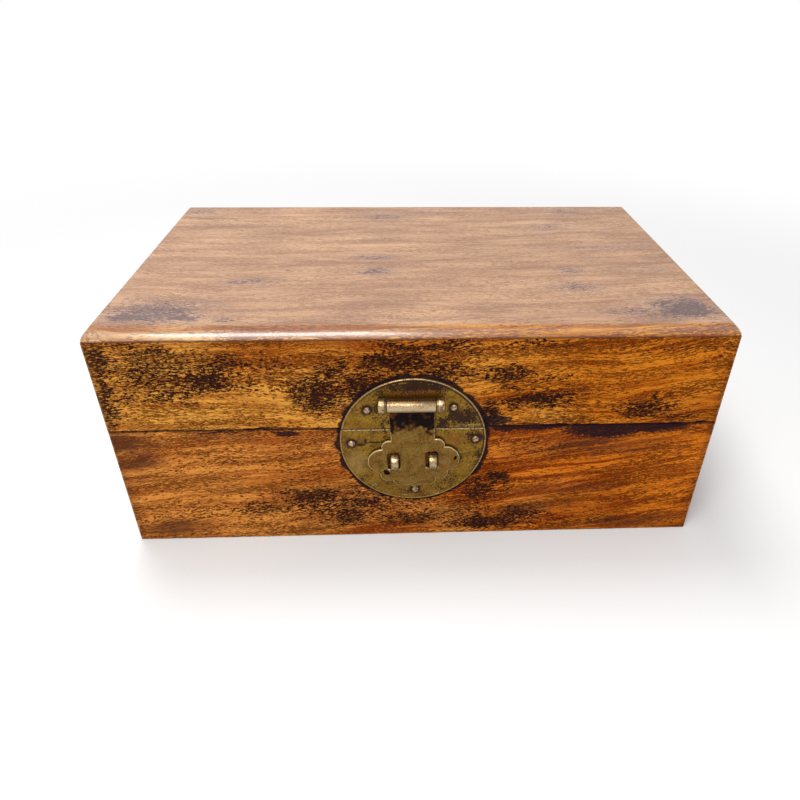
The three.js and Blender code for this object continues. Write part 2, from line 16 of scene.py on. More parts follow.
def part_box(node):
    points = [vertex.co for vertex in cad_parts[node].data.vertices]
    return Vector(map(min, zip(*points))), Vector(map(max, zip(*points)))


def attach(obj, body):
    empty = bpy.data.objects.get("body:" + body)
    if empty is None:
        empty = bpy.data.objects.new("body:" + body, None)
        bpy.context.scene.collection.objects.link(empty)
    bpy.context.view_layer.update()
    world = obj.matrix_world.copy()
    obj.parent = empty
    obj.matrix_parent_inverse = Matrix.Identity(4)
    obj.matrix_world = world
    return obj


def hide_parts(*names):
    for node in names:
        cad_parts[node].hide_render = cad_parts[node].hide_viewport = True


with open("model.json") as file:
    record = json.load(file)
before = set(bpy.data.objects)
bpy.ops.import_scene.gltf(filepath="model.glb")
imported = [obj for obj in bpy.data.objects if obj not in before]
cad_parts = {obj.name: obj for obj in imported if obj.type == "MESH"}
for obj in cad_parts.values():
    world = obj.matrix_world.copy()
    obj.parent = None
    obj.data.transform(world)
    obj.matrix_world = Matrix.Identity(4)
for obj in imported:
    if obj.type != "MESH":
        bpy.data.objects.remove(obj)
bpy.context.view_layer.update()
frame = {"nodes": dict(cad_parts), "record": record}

MM = 0.001

BODY_OF = {
    node: body for body, nodes in frame["record"]["behaviour"]["bodies"].items() for node in nodes}


def box_mm(node):
    """The lowest and highest corner of a CAD node in millimetres."""
    low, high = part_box(node)
    return np.array(low) / MM, np.array(high) / MM


def middle_of(node):
    low, high = box_mm(node)
    return (low + high) / 2


# Sizes read from the frame

TOP_LOW, TOP_HIGH = box_mm("lid_top_panel")
LID_LOW, LID_BOARD_HIGH = box_mm("lid_left_board")
HALF_WIDTH, BACK, LID_TOP = TOP_HIGH
FRONT = TOP_LOW[1]
SEAM_LOW = box_mm("base_left_board")[1][2]
SEAM_HIGH = LID_LOW[2]
SEAM = (SEAM_LOW + SEAM_HIGH) / 2
BOARDS_TOP = LID_BOARD_HIGH[2]
WALL = box_mm("base_front_board")[1][1] - FRONT

PLATE_LOW, PLATE_SEAM_HIGH = box_mm("lock_plate_lower")
PLATE_X = (PLATE_LOW[0] + PLATE_SEAM_HIGH[0]) / 2
PLATE_RADIUS = (PLATE_SEAM_HIGH[0] - PLATE_LOW[0]) / 2
PLATE_Z = PLATE_LOW[2] + PLATE_RADIUS
PLATE_FRONT = PLATE_LOW[1]
PLATE_BACK = PLATE_SEAM_HIGH[1]

BARREL_X, BARREL_Y, BARREL_Z = (
    value / MM for joint in frame["record"]["behaviour"]["joints"] if joint["name"] == "hasp_hinge"
    for value in joint["pos_m"])
BARREL_RADIUS = BARREL_Y - box_mm("hasp")[0][1]
HASP_BACK = BARREL_Y + BARREL_RADIUS
LEFT_EYE_LOW, LEFT_EYE_HIGH = box_mm("knuckle_eye_left")
RIGHT_EYE_LOW = box_mm("knuckle_eye_right")[0]
EYE_RADIUS = BARREL_Y - LEFT_EYE_LOW[1]
STAPLES_X = [middle_of(node)[0] for node in ("staple_left", "staple_right")]
STAPLE_Z = middle_of("staple_left")[2]

# Sizes that the part's source has too

SHEET = 1.4
HASP_FRONT = HASP_BACK - SHEET
RUN_GAP = 0.3
HOLE_GAP = 0.3
PIN_RADIUS = 2.3
BARREL_BORE = PIN_RADIUS + RUN_GAP
HASP_SKEW = math.radians(2)
STAPLE_RADIUS = 5.2
STAPLE_THICKNESS = 1.2
STAPLE_INNER = STAPLE_RADIUS - STAPLE_THICKNESS
STAPLE_WIDTH = 4.8
STAPLE_SPREAD = 11.5
ARCH_Y = HASP_FRONT - 1.0
SLOT_HALF_HIGH = STAPLE_RADIUS + 0.75
SLOT_HALF_WIDE = STAPLE_WIDTH / 2 + 0.6
SLOT_SPARE = 1.2
TAIL_HALF_WIDE = (LEFT_EYE_HIGH[0] - LEFT_EYE_LOW[0]) / 2 - 0.5
TAIL_HALF_HIGH = 1.2
CLINCH_LENGTH = 7.0
CLINCH_THICKNESS = 1.2
INSIDE = FRONT + WALL + 0.1
CLINCH_END = INSIDE + CLINCH_THICKNESS


# Meshes, made in millimetres and turned into metres at the end

SMOOTH_ANGLE = math.radians(38)
# Points closer than this are one, in millimetres
MERGE = 0.002
CUT_MERGE = 0.0005


def add(name, data):
    """A new object in the scene."""
    thing = bpy.data.objects.new(name, data)
    bpy.context.scene.collection.objects.link(thing)
    return thing


def shade(mesh):
    """Smooths all but the sharp edges."""
    mesh.shade_smooth()
    mesh.set_sharp_from_angle(angle=SMOOTH_ANGLE)
    return mesh


def mesh_of(bm, name):
    """Turns a bmesh in millimetres into a smooth-shaded mesh in metres and frees it."""
    bmesh.ops.recalc_face_normals(bm, faces=bm.faces)
    bmesh.ops.scale(bm, vec=(MM,) * 3, verts=bm.verts)
    mesh = bpy.data.meshes.new(name)
    bm.to_mesh(mesh)
    bm.free()
    return shade(mesh)


def solid_copy(node):
    """A CAD node's solid in millimetres, with its flat faces whole again."""
    bm = bmesh.new()
    bm.from_mesh(frame["nodes"][node].data)
    bmesh.ops.scale(bm, vec=(1 / MM,) * 3, verts=bm.verts)
    bmesh.ops.remove_doubles(bm, verts=bm.verts, dist=MERGE)
    bmesh.ops.dissolve_limit(bm, angle_limit=math.radians(0.2), verts=bm.verts, edges=bm.edges)
    return bm


def cut_flat(bm, place, normal, clear=False):
    """Cuts all faces along a plane, clears what lies past it if asked, and returns the edges of the cut."""
    whole = bm.verts[:] + bm.edges[:] + bm.faces[:]
    cut = bmesh.ops.bisect_plane(
        bm, geom=whole, dist=CUT_MERGE, plane_co=place, plane_no=normal, clear_outer=clear)
    return [thing for thing in cut["geom_cut"] if isinstance(thing, bmesh.types.BMEdge)]


def slice_at(bm, axis, places):
    """Cuts the faces along flat planes across one axis, and removes nothing."""
    normal = np.eye(3)[axis]
    for place in places:
        cut_flat(bm, place * normal, normal)


def cut_bodies(mesh, cutter, operation="DIFFERENCE"):
    """The mesh with a cutter taken away from it or joined to it, both in metres."""
    main = add("cut_main", mesh)
    tool = add("cut_tool", cutter)
    step = main.modifiers.new("cut", "BOOLEAN")
    step.operation = operation
    step.solver = "EXACT"
    step.object = tool
    bpy.context.view_layer.update()
    done = bpy.data.meshes.new_from_object(main.evaluated_get(bpy.context.evaluated_depsgraph_get()))
    for thing in (main, tool):
        bpy.data.objects.remove(thing)
    done.name = mesh.name
    return shade(done)


def piece(mesh, node, material):
    """A piece that stands for a CAD node, with its body."""
    thing = add(mesh.name, mesh)
    mesh.materials.append(material)
    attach(thing, BODY_OF[node])
    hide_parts(node)


def ripple(seed, reach):
    """A smooth function of length along an edge, within -1 and 1, that repeats about every reach."""
    draw = np.random.default_rng(seed)
    waves = [(draw.uniform(0.6, 2.4) / reach, draw.uniform(0, 2 * math.pi)) for _ in range(5)]
    return lambda s: sum(math.sin(2 * math.pi * f * s + p) for f, p in waves) / len(waves) * 1.6


ARC_STEPS = [1 - math.tan(math.radians(turn)) for turn in (0.0, 11.25, 22.5, 33.75)]


def arc_steps(radius):
    """Where an edge's faces are cut, as distances from the edge, so that they can fold onto its round."""
    return [radius * part for part in ARC_STEPS]


# How far outside a plane a point may lie and still fold with the edge
FOLD_SPARE = 0.2


def fold(point, radius, first, second):
    """Moves a point near an edge onto the edge's round. first and second are (axis, plane, sign),
    where a positive sign means that the solid lies on the higher side of the plane."""
    (axis_a, plane_a, sign_a), (axis_b, plane_b, sign_b) = first, second
    a = (point[axis_a] - plane_a) * sign_a
    b = (point[axis_b] - plane_b) * sign_b
    if not (-FOLD_SPARE <= a < radius and -FOLD_SPARE <= b < radius):
        return
    da, db = radius - a, radius - b
    away = math.hypot(da, db)
    if away > radius:
        point[axis_a] = plane_a + sign_a * (radius - da * radius / away)
        point[axis_b] = plane_b + sign_b * (radius - db * radius / away)


# Boards

SEAM_ROUND = 0.6
SEAM_ROUND_INSIDE = 0.5
FOOT_ROUND = 0.9
HEAD_ROUND = 0.35
CORNER_ROUND = 1.8
BOARD_STEP = 4.5
# The next cut beyond a round and beyond a corner's round
BEYOND_ROUND, BEYOND_CORNER = 0.5, 0.6
# Cuts beyond a round that leave room for nicks, in radii
NICK_CUTS = (1.7, 2.6, 3.8)
# How uneven the rounds are, and how far apart their waves lie
EDGE_UNEVEN, EDGE_WAVE = 0.3, 46
CORNER_UNEVEN, CORNER_WAVE = 0.22, 30


def board_mesh(node, axis, sign, seed, nicks):
    """One of the eight boards of the case, its edges worn to rounds of uneven width."""
    run = 1 - axis
    half, reach = (HALF_WIDTH, BACK)[run], (HALF_WIDTH, BACK)[axis]
    outer = (axis, -sign * reach, sign)
    inner = (axis, -sign * (reach - WALL), -sign)
    if node.startswith("base"):
        seam, far = (2, SEAM_LOW, -1), ((2, 0.0, 1), FOOT_ROUND)
    else:
        seam, far = (2, SEAM_HIGH, 1), ((2, BOARDS_TOP, -1), HEAD_ROUND)
    # Two planes, the radius of the round between them, and whether nicks widen it
    edges = [(outer, seam, SEAM_ROUND, True), (inner, seam, SEAM_ROUND_INSIDE, False), (outer, *far, False)]
    if "back" in node:
        edges = edges[2:]

    cuts = [set(), set(), set()]
    for first, second, radius, nicked in edges:
        places = arc_steps(radius) + [radius + BEYOND_ROUND]
        if nicked:
            places += [radius * part for part in NICK_CUTS]
        for across, plane, side in (first, second):
            cuts[across].update(round(plane + side * place, 4) for place in places)
    for place in arc_steps(CORNER_ROUND) + [CORNER_ROUND + BEYOND_CORNER]:
        cuts[run].update(round(end * (half - place), 4) for end in (-1, 1))
    cuts[axis].update(round(outer[1] + sign * place, 4) for place in arc_steps(CORNER_ROUND))
    cuts[run].update(np.arange(-half + BOARD_STEP, half - BOARD_STEP / 2, BOARD_STEP).round(4))
    bm = solid_copy(node)
    for across, places in enumerate(cuts):
        slice_at(bm, across, sorted(places))

    waves = [ripple(seed + i, EDGE_WAVE) for i in range(len(edges))]
    corner_waves = [ripple(seed + 40 + i, CORNER_WAVE) for i in range(2)]
    for vert in bm.verts:
        point = vert.co
        for (first, second, radius, nicked), wave in zip(edges, waves):
            s = point[run]
            worn = radius * (1 + EDGE_UNEVEN * wave(s))
            if nicked:
                worn += sum(deep * math.exp(-((s - at) / wide) ** 2) for at, wide, deep in nicks)
            fold(point, worn, first, second)
        for end, wave in zip((-1, 1), corner_waves):
            worn = CORNER_ROUND * (1 + CORNER_UNEVEN * wave(point[2]))
            fold(point, worn, outer, (run, end * half, -end))
    return mesh_of(bm, node + "_worn")


# Rounds of the top's edges: reach across the top and drop down the edge
FRONT_ROUND = (8.0, 3.1)
OTHER_ROUND = (3.0, 3.0)
ROUND_STEPS = [1 - math.sin(math.radians(turn)) for turn in np.arange(0.0, 90.0, 7.5)]
TOP_CORNER = 3.4
TOP_STEP = 6.0
TOP_UNDER = BOARDS_TOP + 0.1
UNDER_ROUND = 0.3
BEYOND_FRONT, BEYOND_OTHER = 10.0, 4.0
PLANED_REACH = 14.0
PLANED_DROP = 0.3
PLANED_WAVE = 70


def down(away, reach, drop):
    """How far a round has dropped at a distance from its edge."""
    part = min(max(1 - away / reach, 0.0), 1.0)
    return drop * (1 - math.sqrt(1 - part * part))


def top_mesh():
    """The lid's top, with worn corners and the faint waves of a hand-planed front edge."""
    bm = solid_copy("lid_top_panel")
    plan = arc_steps(TOP_CORNER)
    other = plan + [OTHER_ROUND[0] * part for part in ROUND_STEPS[::2]] + [BEYOND_OTHER]
    front_round = [FRONT_ROUND[0] * part for part in ROUND_STEPS]
    slice_at(bm, 0, [end * (HALF_WIDTH - part) for part in other for end in (-1, 1)])
    slice_at(bm, 0, np.arange(-HALF_WIDTH + TOP_STEP, HALF_WIDTH - TOP_STEP + 1, TOP_STEP))
    slice_at(bm, 1, [FRONT + part for part in plan + front_round + [BEYOND_FRONT, PLANED_REACH]])
    slice_at(bm, 1, [BACK - part for part in other])
    slice_at(bm, 1, [FRONT + part for part in arc_steps(UNDER_ROUND)])
    slice_at(bm, 2, [TOP_UNDER + part for part in arc_steps(UNDER_ROUND)[1:]])
    wave = ripple(91, PLANED_WAVE)
    for vert in bm.verts:
        point = vert.co
        fold(point, UNDER_ROUND, (1, FRONT, 1), (2, TOP_UNDER, 1))
        if point.z > TOP_UNDER + 0.4:
            front, back, side = point.y - FRONT, BACK - point.y, HALF_WIDTH - abs(point.x)
            ends = max(down(front, *FRONT_ROUND), down(back, *OTHER_ROUND))
            drop = min(ends + down(side, *OTHER_ROUND), FRONT_ROUND[1])
            near = max(0.0, 1 - front / PLANED_REACH)
            planed = PLANED_DROP * near * near * (0.5 + 0.5 * wave(point.x)) * min(1.0, front)
            point.z = LID_TOP - drop - planed
        for end in (-1, 1):
            for y_plane, y_sign in ((FRONT, 1), (BACK, -1)):
                fold(point, TOP_CORNER, (0, end * HALF_WIDTH, -end), (1, y_plane, y_sign))
    return mesh_of(bm, "lid_top_worn")


# Sheets, strips and turned pieces

SHOULDER_DEPTH = 0.09


def inset(outline, distance):
    """An outline moved to the left of its run by a distance, with mitred corners."""
    points = np.asarray(outline, float)
    into = points - np.roll(points, 1, 0)
    left = []
    for run in (into, np.roll(into, -1, 0)):
        run = run / np.linalg.norm(run, axis=1)[:, None]
        left.append(np.stack([-run[:, 1], run[:, 0]], 1))
    middle = left[0] + left[1]
    middle /= np.linalg.norm(middle, axis=1)[:, None]
    stretch = np.maximum((middle * left[0]).sum(1), 0.6)
    return points + middle * (distance / stretch)[:, None]


def following(ring):
    """Pairs of neighbours round a closed ring."""
    return list(zip(ring, ring[1:] + ring[:1]))


def skin(bm, rings):
    """Faces between each ring and the next."""
    for low, high in zip(rings, rings[1:]):
        for (a, b), (d, c) in zip(following(low), following(high)):
            corners = list(dict.fromkeys((a, b, c, d)))
            if len(corners) > 2:
                bm.faces.new(corners)


def layered(outlines, layers, place):
    """A solid from outlines stacked in layers of (inset, depth), closed by flat caps.

    The first outline runs anticlockwise and the holes clockwise; place turns (a, b, depth) into a point."""
    bm = bmesh.new()
    ends = [[], []]
    for outline in outlines:
        rings = []
        for move, depth in layers:
            rings.append([bm.verts.new(place(a, b, depth)) for a, b in inset(outline, move)])
        skin(bm, rings)
        for end, ring in zip(ends, (rings[0], rings[-1])):
            end.extend(bm.edges.get(pair) for pair in following(ring))
    for end in ends:
        bmesh.ops.triangle_fill(bm, use_beauty=True, use_dissolve=False, edges=end)
    return bm


def strip_layers(half, edge, shoulder):
    """Layers of a strip as wide as twice half, with soft edges."""
    start = [(edge, -half), (shoulder, SHOULDER_DEPTH - half), (0.0, edge - half)]
    return start + [(move, -depth) for move, depth in reversed(start)]


def turned(profile, sides, place, wobble=None):
    """A body of (radius, distance) points turned about an axis; its first and last radius are 0."""
    bm = bmesh.new()
    rings = []
    for radius, distance in profile:
        if radius < 1e-6:
            rings.append([bm.verts.new(place(0.0, 0.0, distance))] * sides)
            continue
        ring = []
        for i in range(sides):
            angle = 2 * math.pi * i / sides
            reach = radius * (1 + (wobble(angle, distance) if wobble else 0.0))
            ring.append(bm.verts.new(place(reach * math.cos(angle), reach * math.sin(angle), distance)))
        rings.append(ring)
    skin(bm, rings)
    return bm


def box_cutter(bm, low, high):
    """Adds a box between two corners."""
    low, high = np.array(low), np.array(high)
    place = Matrix.Translation((low + high) / 2) @ Matrix.Diagonal((*(high - low), 1.0))
    bmesh.ops.create_cube(bm, size=1.0, matrix=place)


def box_mesh(name, low, high):
    bm = bmesh.new()
    box_cutter(bm, low, high)
    return mesh_of(bm, name)


def rod_cutter(bm, radius, x, z, y_low, y_high):
    """Adds a round rod along y."""
    turn = Matrix.Translation((x, (y_low + y_high) / 2, z)) @ Matrix.Rotation(math.pi / 2, 4, "X")
    bmesh.ops.create_cone(
        bm, cap_ends=True, segments=24, radius1=radius, radius2=radius, depth=y_high - y_low, matrix=turn)


def arc(middle_a, middle_b, radius, start, end, steps):
    """Points along an arc, angles in degrees."""
    turns = np.radians(np.linspace(start, end, steps + 1))
    return [(middle_a + radius * math.cos(t), middle_b + radius * math.sin(t)) for t in turns]


# The hasp

def hung(beside, above):
    """A place on the hasp, beside its middle line and above its slots, turned as it hangs."""
    drop = BARREL_Z - STAPLE_Z - above
    return (BARREL_X + beside * math.cos(HASP_SKEW) + drop * math.sin(HASP_SKEW),
            BARREL_Z + beside * math.sin(HASP_SKEW) - drop * math.cos(HASP_SKEW))


# Rounds of the lobed outline: beside, above, radius
HASP_ROUNDS = ((18.6, 0.0, 9.1), (14.4, 10.6, 4.5), (15.6, -9.7, 5.2), (8.9, -14.4, 4.4), (0.0, -17.4, 3.0))
# Its straight middle: half width, lowest, highest
HASP_SLABS = ((13.1, 0.0, BARREL_Z - STAPLE_Z), (18.6, -9.7, 10.6), (8.9, -18.8, 0.0))
HASP_TURNS = 900
HASP_RAGGED = 0.06
# Worn-through ovals: beside, above, half length, half width, tilt in degrees
HASP_FLAWS = ((-16.8, -8.3, 2.4, 1.5, -55.0), (25.2, 0.4, 1.6, 0.7, 75.0))
FLAW_TURNS = 20
SLOT_CORNER = 0.5
# The sheet's rounded edges: how far in at how deep
HASP_LAYERS = ((0.2, 0.0), (0.05, 0.06), (0.0, 0.22), (0.0, SHEET - 0.5), (0.08, SHEET - 0.2),
               (0.28, SHEET - 0.04), (0.55, SHEET))
# Dents in the sheet: how deep, how far apart, how far below the barrel they start and are full
HASP_DENT, DENT_WAVE_X, DENT_WAVE_Z = 0.16, 17, 15
DENT_START, DENT_FULL = 10, 22
HASP_STEP = 1.0
HASP_LEFT, HASP_RIGHT, HASP_DROP = 29, 31, 21
# Where the rolled strap starts and ends, in degrees round the pin
ROLL_START, ROLL_END = -8, 304
RUB_REACH = 0.62
TINY = 1e-9


def hasp_outline():
    """The farthest point of the hasp along each ray from the middle of its slots."""
    wave = ripple(5, 9.0)
    points = []
    for i in range(HASP_TURNS):
        turn = 2 * math.pi * i / HASP_TURNS
        a, b = math.cos(turn), math.sin(turn)
        reach = 0.0
        for beside, above, radius in HASP_ROUNDS:
            for side in (-1, 1):
                middle = a * side * beside + b * above
                left = middle * middle - beside * beside - above * above + radius * radius
                if left > 0:
                    reach = max(reach, middle + math.sqrt(left))
        for half, low, high in HASP_SLABS:
            limit = half / max(abs(a), TINY)
            if abs(b) > TINY:
                limit = min(limit, (high if b > 0 else low) / b)
            reach = max(reach, limit)
        points.append((a * reach + HASP_RAGGED * wave(i * 0.2), b * reach + HASP_RAGGED * wave(i * 0.2 + 31)))
    return points


def slot_outline(side):
    """A slot with small round corners, run clockwise."""
    r = SLOT_CORNER
    left = side * STAPLE_SPREAD - SLOT_HALF_WIDE - SLOT_SPARE + r
    right = side * STAPLE_SPREAD + SLOT_HALF_WIDE - r
    high = SLOT_HALF_HIGH - r
    return (arc(right, high, r, 90, 0, 4) + arc(right, -high, r, 0, -90, 4)
            + arc(left, -high, r, 270, 180, 4) + arc(left, high, r, 180, 90, 4))


def flaw_outline(beside, above, long, wide, tilt):
    """A ragged oval hole, run clockwise."""
    wave = ripple(int(long * 10), 2.2)
    lean = math.radians(tilt)
    points = []
    for i in range(FLAW_TURNS):
        turn = -2 * math.pi * i / FLAW_TURNS
        ragged = 1 + 0.1 * wave(i * 0.8)
        a, b = long * ragged * math.cos(turn), wide * ragged * math.sin(turn)
        points.append((beside + a * math.cos(lean) - b * math.sin(lean),
                       above + a * math.sin(lean) + b * math.cos(lean)))
    return points


def rolled_barrel():
    """The strap's end, rolled round the pin until it nearly meets the strap again."""
    outer = arc(BARREL_Y, BARREL_Z, BARREL_RADIUS, ROLL_START, ROLL_END, 78)
    inner = arc(BARREL_Y, BARREL_Z, BARREL_BORE, ROLL_END, ROLL_START, 64)
    half = (RIGHT_EYE_LOW[0] - LEFT_EYE_HIGH[0]) / 2 - RUN_GAP
    layers = strip_layers(half, 0.32, 0.1)
    return layered([outer + inner], layers, lambda a, b, depth: (BARREL_X + depth, a, b))


def hasp_mesh():
    """The hasp with its barrel, faintly dented, and a value for how much each point is rubbed."""
    outlines = [hasp_outline(), slot_outline(-1), slot_outline(1)]

    def place(a, b, depth):
        x, z = hung(a, b)
        return (x, HASP_BACK - depth, z)

    bm = layered(outlines + [flaw_outline(*flaw) for flaw in HASP_FLAWS], HASP_LAYERS, place)
    slice_at(bm, 0, np.arange(BARREL_X - HASP_LEFT, BARREL_X + HASP_RIGHT, HASP_STEP))
    slice_at(bm, 2, np.arange(STAPLE_Z - HASP_DROP, BARREL_Z, HASP_STEP))
    wave_x, wave_z = ripple(12, DENT_WAVE_X), ripple(13, DENT_WAVE_Z)
    for vert in bm.verts:
        x, _, z = vert.co
        low = min(1.0, max(0.0, (BARREL_Z - DENT_START - z) / (DENT_FULL - DENT_START)))
        vert.co.y += HASP_DENT * low * (wave_x(x) + wave_z(z))
    whole = cut_bodies(mesh_of(bm, "hasp_rolled"), mesh_of(rolled_barrel(), "barrel"), "UNION")

    edges = np.array([hung(a, b) for outline in outlines for a, b in outline])
    rub = whole.attributes.new("rub", "FLOAT", "POINT")
    for vert, rubbed in zip(whole.vertices, rub.data):
        x, y, z = vert.co / MM
        gap = np.sqrt(((edges - (x, z)) ** 2).sum(1)).min()
        behind = y > HASP_BACK - 0.3 or z > BARREL_Z - 3
        rubbed.value = 0.0 if behind else math.exp(-gap / RUB_REACH)
    return whole


# The lock plate

PLATE_SIDES = 180
PLATE_THICKNESS = 1.2
# Its raised rim: how far in from the edge, and how high
PLATE_RIM = (
    (0.3, 0.0), (0.0, 0.25), (0.0, 0.8), (0.08, 1.1), (0.26, 1.32), (0.5, 1.38), (0.72, 1.28),
    (0.9, 1.14), (1.15, 1.08), (1.45, 1.17), (1.8, PLATE_THICKNESS))
NAIL_HOLE = 1.2
# Room for the cutters before and behind the plate
THROUGH = 2


def plate_mesh(node, low, high, slots, nails):
    """One part of the disc, with a raised rim, cut off at the seam and pierced for its fittings."""
    profile = [(PLATE_RADIUS - a, b) for a, b in PLATE_RIM]
    profile = [(0.0, 0.0), *profile, (0.0, PLATE_THICKNESS)]
    bm = turned(profile, PLATE_SIDES, lambda a, b, d: (PLATE_X + a, PLATE_BACK - d, PLATE_Z + b))
    for place, normal in ((low, -1), (high, 1)):
        rim = cut_flat(bm, (0, 0, place), (0, 0, normal), clear=True)
        if rim:
            bmesh.ops.holes_fill(bm, edges=rim, sides=0)
    cutter = bmesh.new()
    front, back = PLATE_FRONT - THROUGH, PLATE_BACK + THROUGH
    for x, half, z_low, z_high in slots:
        box_cutter(cutter, (x - half - HOLE_GAP, front, z_low - HOLE_GAP),
                   (x + half + HOLE_GAP, back, z_high + HOLE_GAP))
    for nail in nails:
        x, _, z = middle_of(nail)
        rod_cutter(cutter, NAIL_HOLE, x, z, front, back)
    return cut_bodies(mesh_of(bm, node + "_disc"), mesh_of(cutter, "holes"))


# Eyes, pin, staples and nails

# An eye's profile at its inner end, with a groove, and at its outer end: how far in, how far along
EYE_INNER = ((0.75, 0.0), (0.45, 0.1), (0.32, 0.35), (0.36, 0.8), (0.3, 1.05), (0.06, 1.25), (0.0, 1.55))
EYE_OUTER = ((0.0, 0.7), (0.08, 0.36), (0.3, 0.1), (0.65, 0.0))
EYE_TAIL_START = 3.2
BORE_HALF = 9
OVERLAP = 0.001
PIN_DOME = ((0.0, 0.0), (0.04, 0.14), (0.2, 0.3), (0.6, 0.4), (PIN_RADIUS, 0.44))
STAPLE_EDGE = 0.3


def along_pin(a, b, d):
    return (d, BARREL_Y + a, BARREL_Z + b)


def eye_mesh(node, side):
    """A ring with a groove near its inner end, on a tail that is turned over inside the lid."""
    low, high = box_mm(node)
    x, half, r = (low[0] + high[0]) / 2, (high[0] - low[0]) / 2, EYE_RADIUS
    profile = [(0.0, -half)] + [(r - into, along - half) for into, along in EYE_INNER]
    profile += [(r - into, half - along) for into, along in EYE_OUTER] + [(0.0, half)]
    if side < 0:
        profile = [(a, -b) for a, b in reversed(profile)]
    ring = turned([(a, x + b) for a, b in profile], 64, along_pin)
    left, right = x - TAIL_HALF_WIDE, x + TAIL_HALF_WIDE
    tail = box_mesh("tail", (left, BARREL_Y + EYE_TAIL_START, BARREL_Z - TAIL_HALF_HIGH),
                    (right, CLINCH_END, BARREL_Z + TAIL_HALF_HIGH))
    foot = box_mesh("foot", (left - OVERLAP, INSIDE, BARREL_Z - CLINCH_LENGTH),
                    (right + OVERLAP, CLINCH_END + OVERLAP, BARREL_Z + CLINCH_LENGTH))
    start, end = x - BORE_HALF, x + BORE_HALF
    bore = turned([(0.0, start), (BARREL_BORE, start), (BARREL_BORE, end), (0.0, end)], 48, along_pin)
    whole = cut_bodies(mesh_of(ring, node + "_ring"), tail, "UNION")
    whole = cut_bodies(whole, foot, "UNION")
    return cut_bodies(whole, mesh_of(bore, "bore"))


def pin_mesh():
    low, high = box_mm("hasp_pin")
    tall = PIN_DOME[-1][1]
    start = [(PIN_RADIUS - into, low[0] + tall - along) for into, along in reversed(PIN_DOME)]
    end = [(PIN_RADIUS - into, high[0] - tall + along) for into, along in PIN_DOME]
    return mesh_of(turned(start + end, 48, along_pin), "hasp_pin_round")


def staple_mesh(node):
    """A bent strip whose legs go through plate and board and are turned over inside."""
    x = middle_of(node)[0]
    r, end, foot = STAPLE_RADIUS, CLINCH_END, STAPLE_RADIUS - CLINCH_LENGTH / 2
    leg = [(INSIDE, r), (end - STAPLE_EDGE, r), (end, r - STAPLE_EDGE), (end, foot), (INSIDE, foot),
           (INSIDE, STAPLE_INNER)]
    outline = arc(ARCH_Y, STAPLE_Z, r, 90, 270, 48) + [(y, STAPLE_Z - up) for y, up in leg]
    outline += arc(ARCH_Y, STAPLE_Z, STAPLE_INNER, 270, 90, 40) + [(y, STAPLE_Z + up) for y, up in leg[:0:-1]]
    layers = strip_layers(STAPLE_WIDTH / 2, STAPLE_EDGE, 0.09)
    return mesh_of(layered([outline], layers, lambda a, b, depth: (x + depth, a, b)), node + "_bent")


def nail_mesh(node, seed, facing, head, dome, shank, depth):
    """A domed head, hammered a little out of round, on a pointed shank."""
    low, high = box_mm(node)
    x, _, z = middle_of(node)
    seat = (high[1] - dome) if facing > 0 else (low[1] + dome)
    rim = 0.1
    profile = [(0.0, -depth), (shank, 2 * shank - depth), (shank, 0.0), (head - 0.12, 0.0), (head, rim)]
    for turn in np.radians(range(12, 90, 11)):
        profile.append((head * math.cos(turn) ** 0.8, rim + (dome - rim) * math.sin(turn)))
    profile.append((0.0, dome))
    two, three = np.random.default_rng(seed).uniform(0, 6.28, 2)

    def wobble(angle, distance):
        if distance <= 0:
            return 0.0
        return 0.025 * math.sin(2 * angle + two) + 0.02 * math.sin(3 * angle + three)

    def place(a, b, d):
        return (x + a, seat + facing * d, z + b)

    return mesh_of(turned(profile, 36, place, wobble), node + "_domed")


def bevelled_mesh(node, width):
    """A CAD node's solid with its sharp edges broken."""
    bm = solid_copy(node)
    limit = math.radians(40)
    sharp = [edge for edge in bm.edges if len(edge.link_faces) == 2 and edge.calc_face_angle() > limit]
    bmesh.ops.bevel(bm, geom=sharp, offset=width, segments=2, profile=0.5, affect="EDGES", clamp_overlap=True)
    return mesh_of(bm, node + "_broken")


# Short forms for a material's nodes

def either_way(operation):
    """The two methods that Python calls for a value on the left and on the right of a sign."""
    return (lambda self, other: self.tree.math(operation, self, other),
            lambda self, other: self.tree.math(operation, other, self))


class Wire:
    """One value in a node tree, which adds and multiplies as a number does."""

    def __init__(self, tree, socket):
        self.tree = tree
        self.socket = socket

    __add__, __radd__ = either_way("ADD")
    __sub__, __rsub__ = either_way("SUBTRACT")
    __mul__, __rmul__ = either_way("MULTIPLY")
    __truediv__, __rtruediv__ = either_way("DIVIDE")

    def most(self, other):
        return self.tree.math("MAXIMUM", self, other)

    def least(self, other):
        return self.tree.math("MINIMUM", self, other)

    def size(self):
        return self.tree.math("ABSOLUTE", self)

    def swing(self, reach):
        """A noise round 0.5 as a shift round 0."""
        return (self - 0.5) * reach

    def rise(self, low, high):
        """0 up to low and 1 from high on, with a smooth step between; low may be the larger."""
        return self.tree.wire("ShaderNodeMapRange", {"interpolation_type": "SMOOTHSTEP"}, 0,
                              **{"Value": self, "From Min": low, "From Max": high})


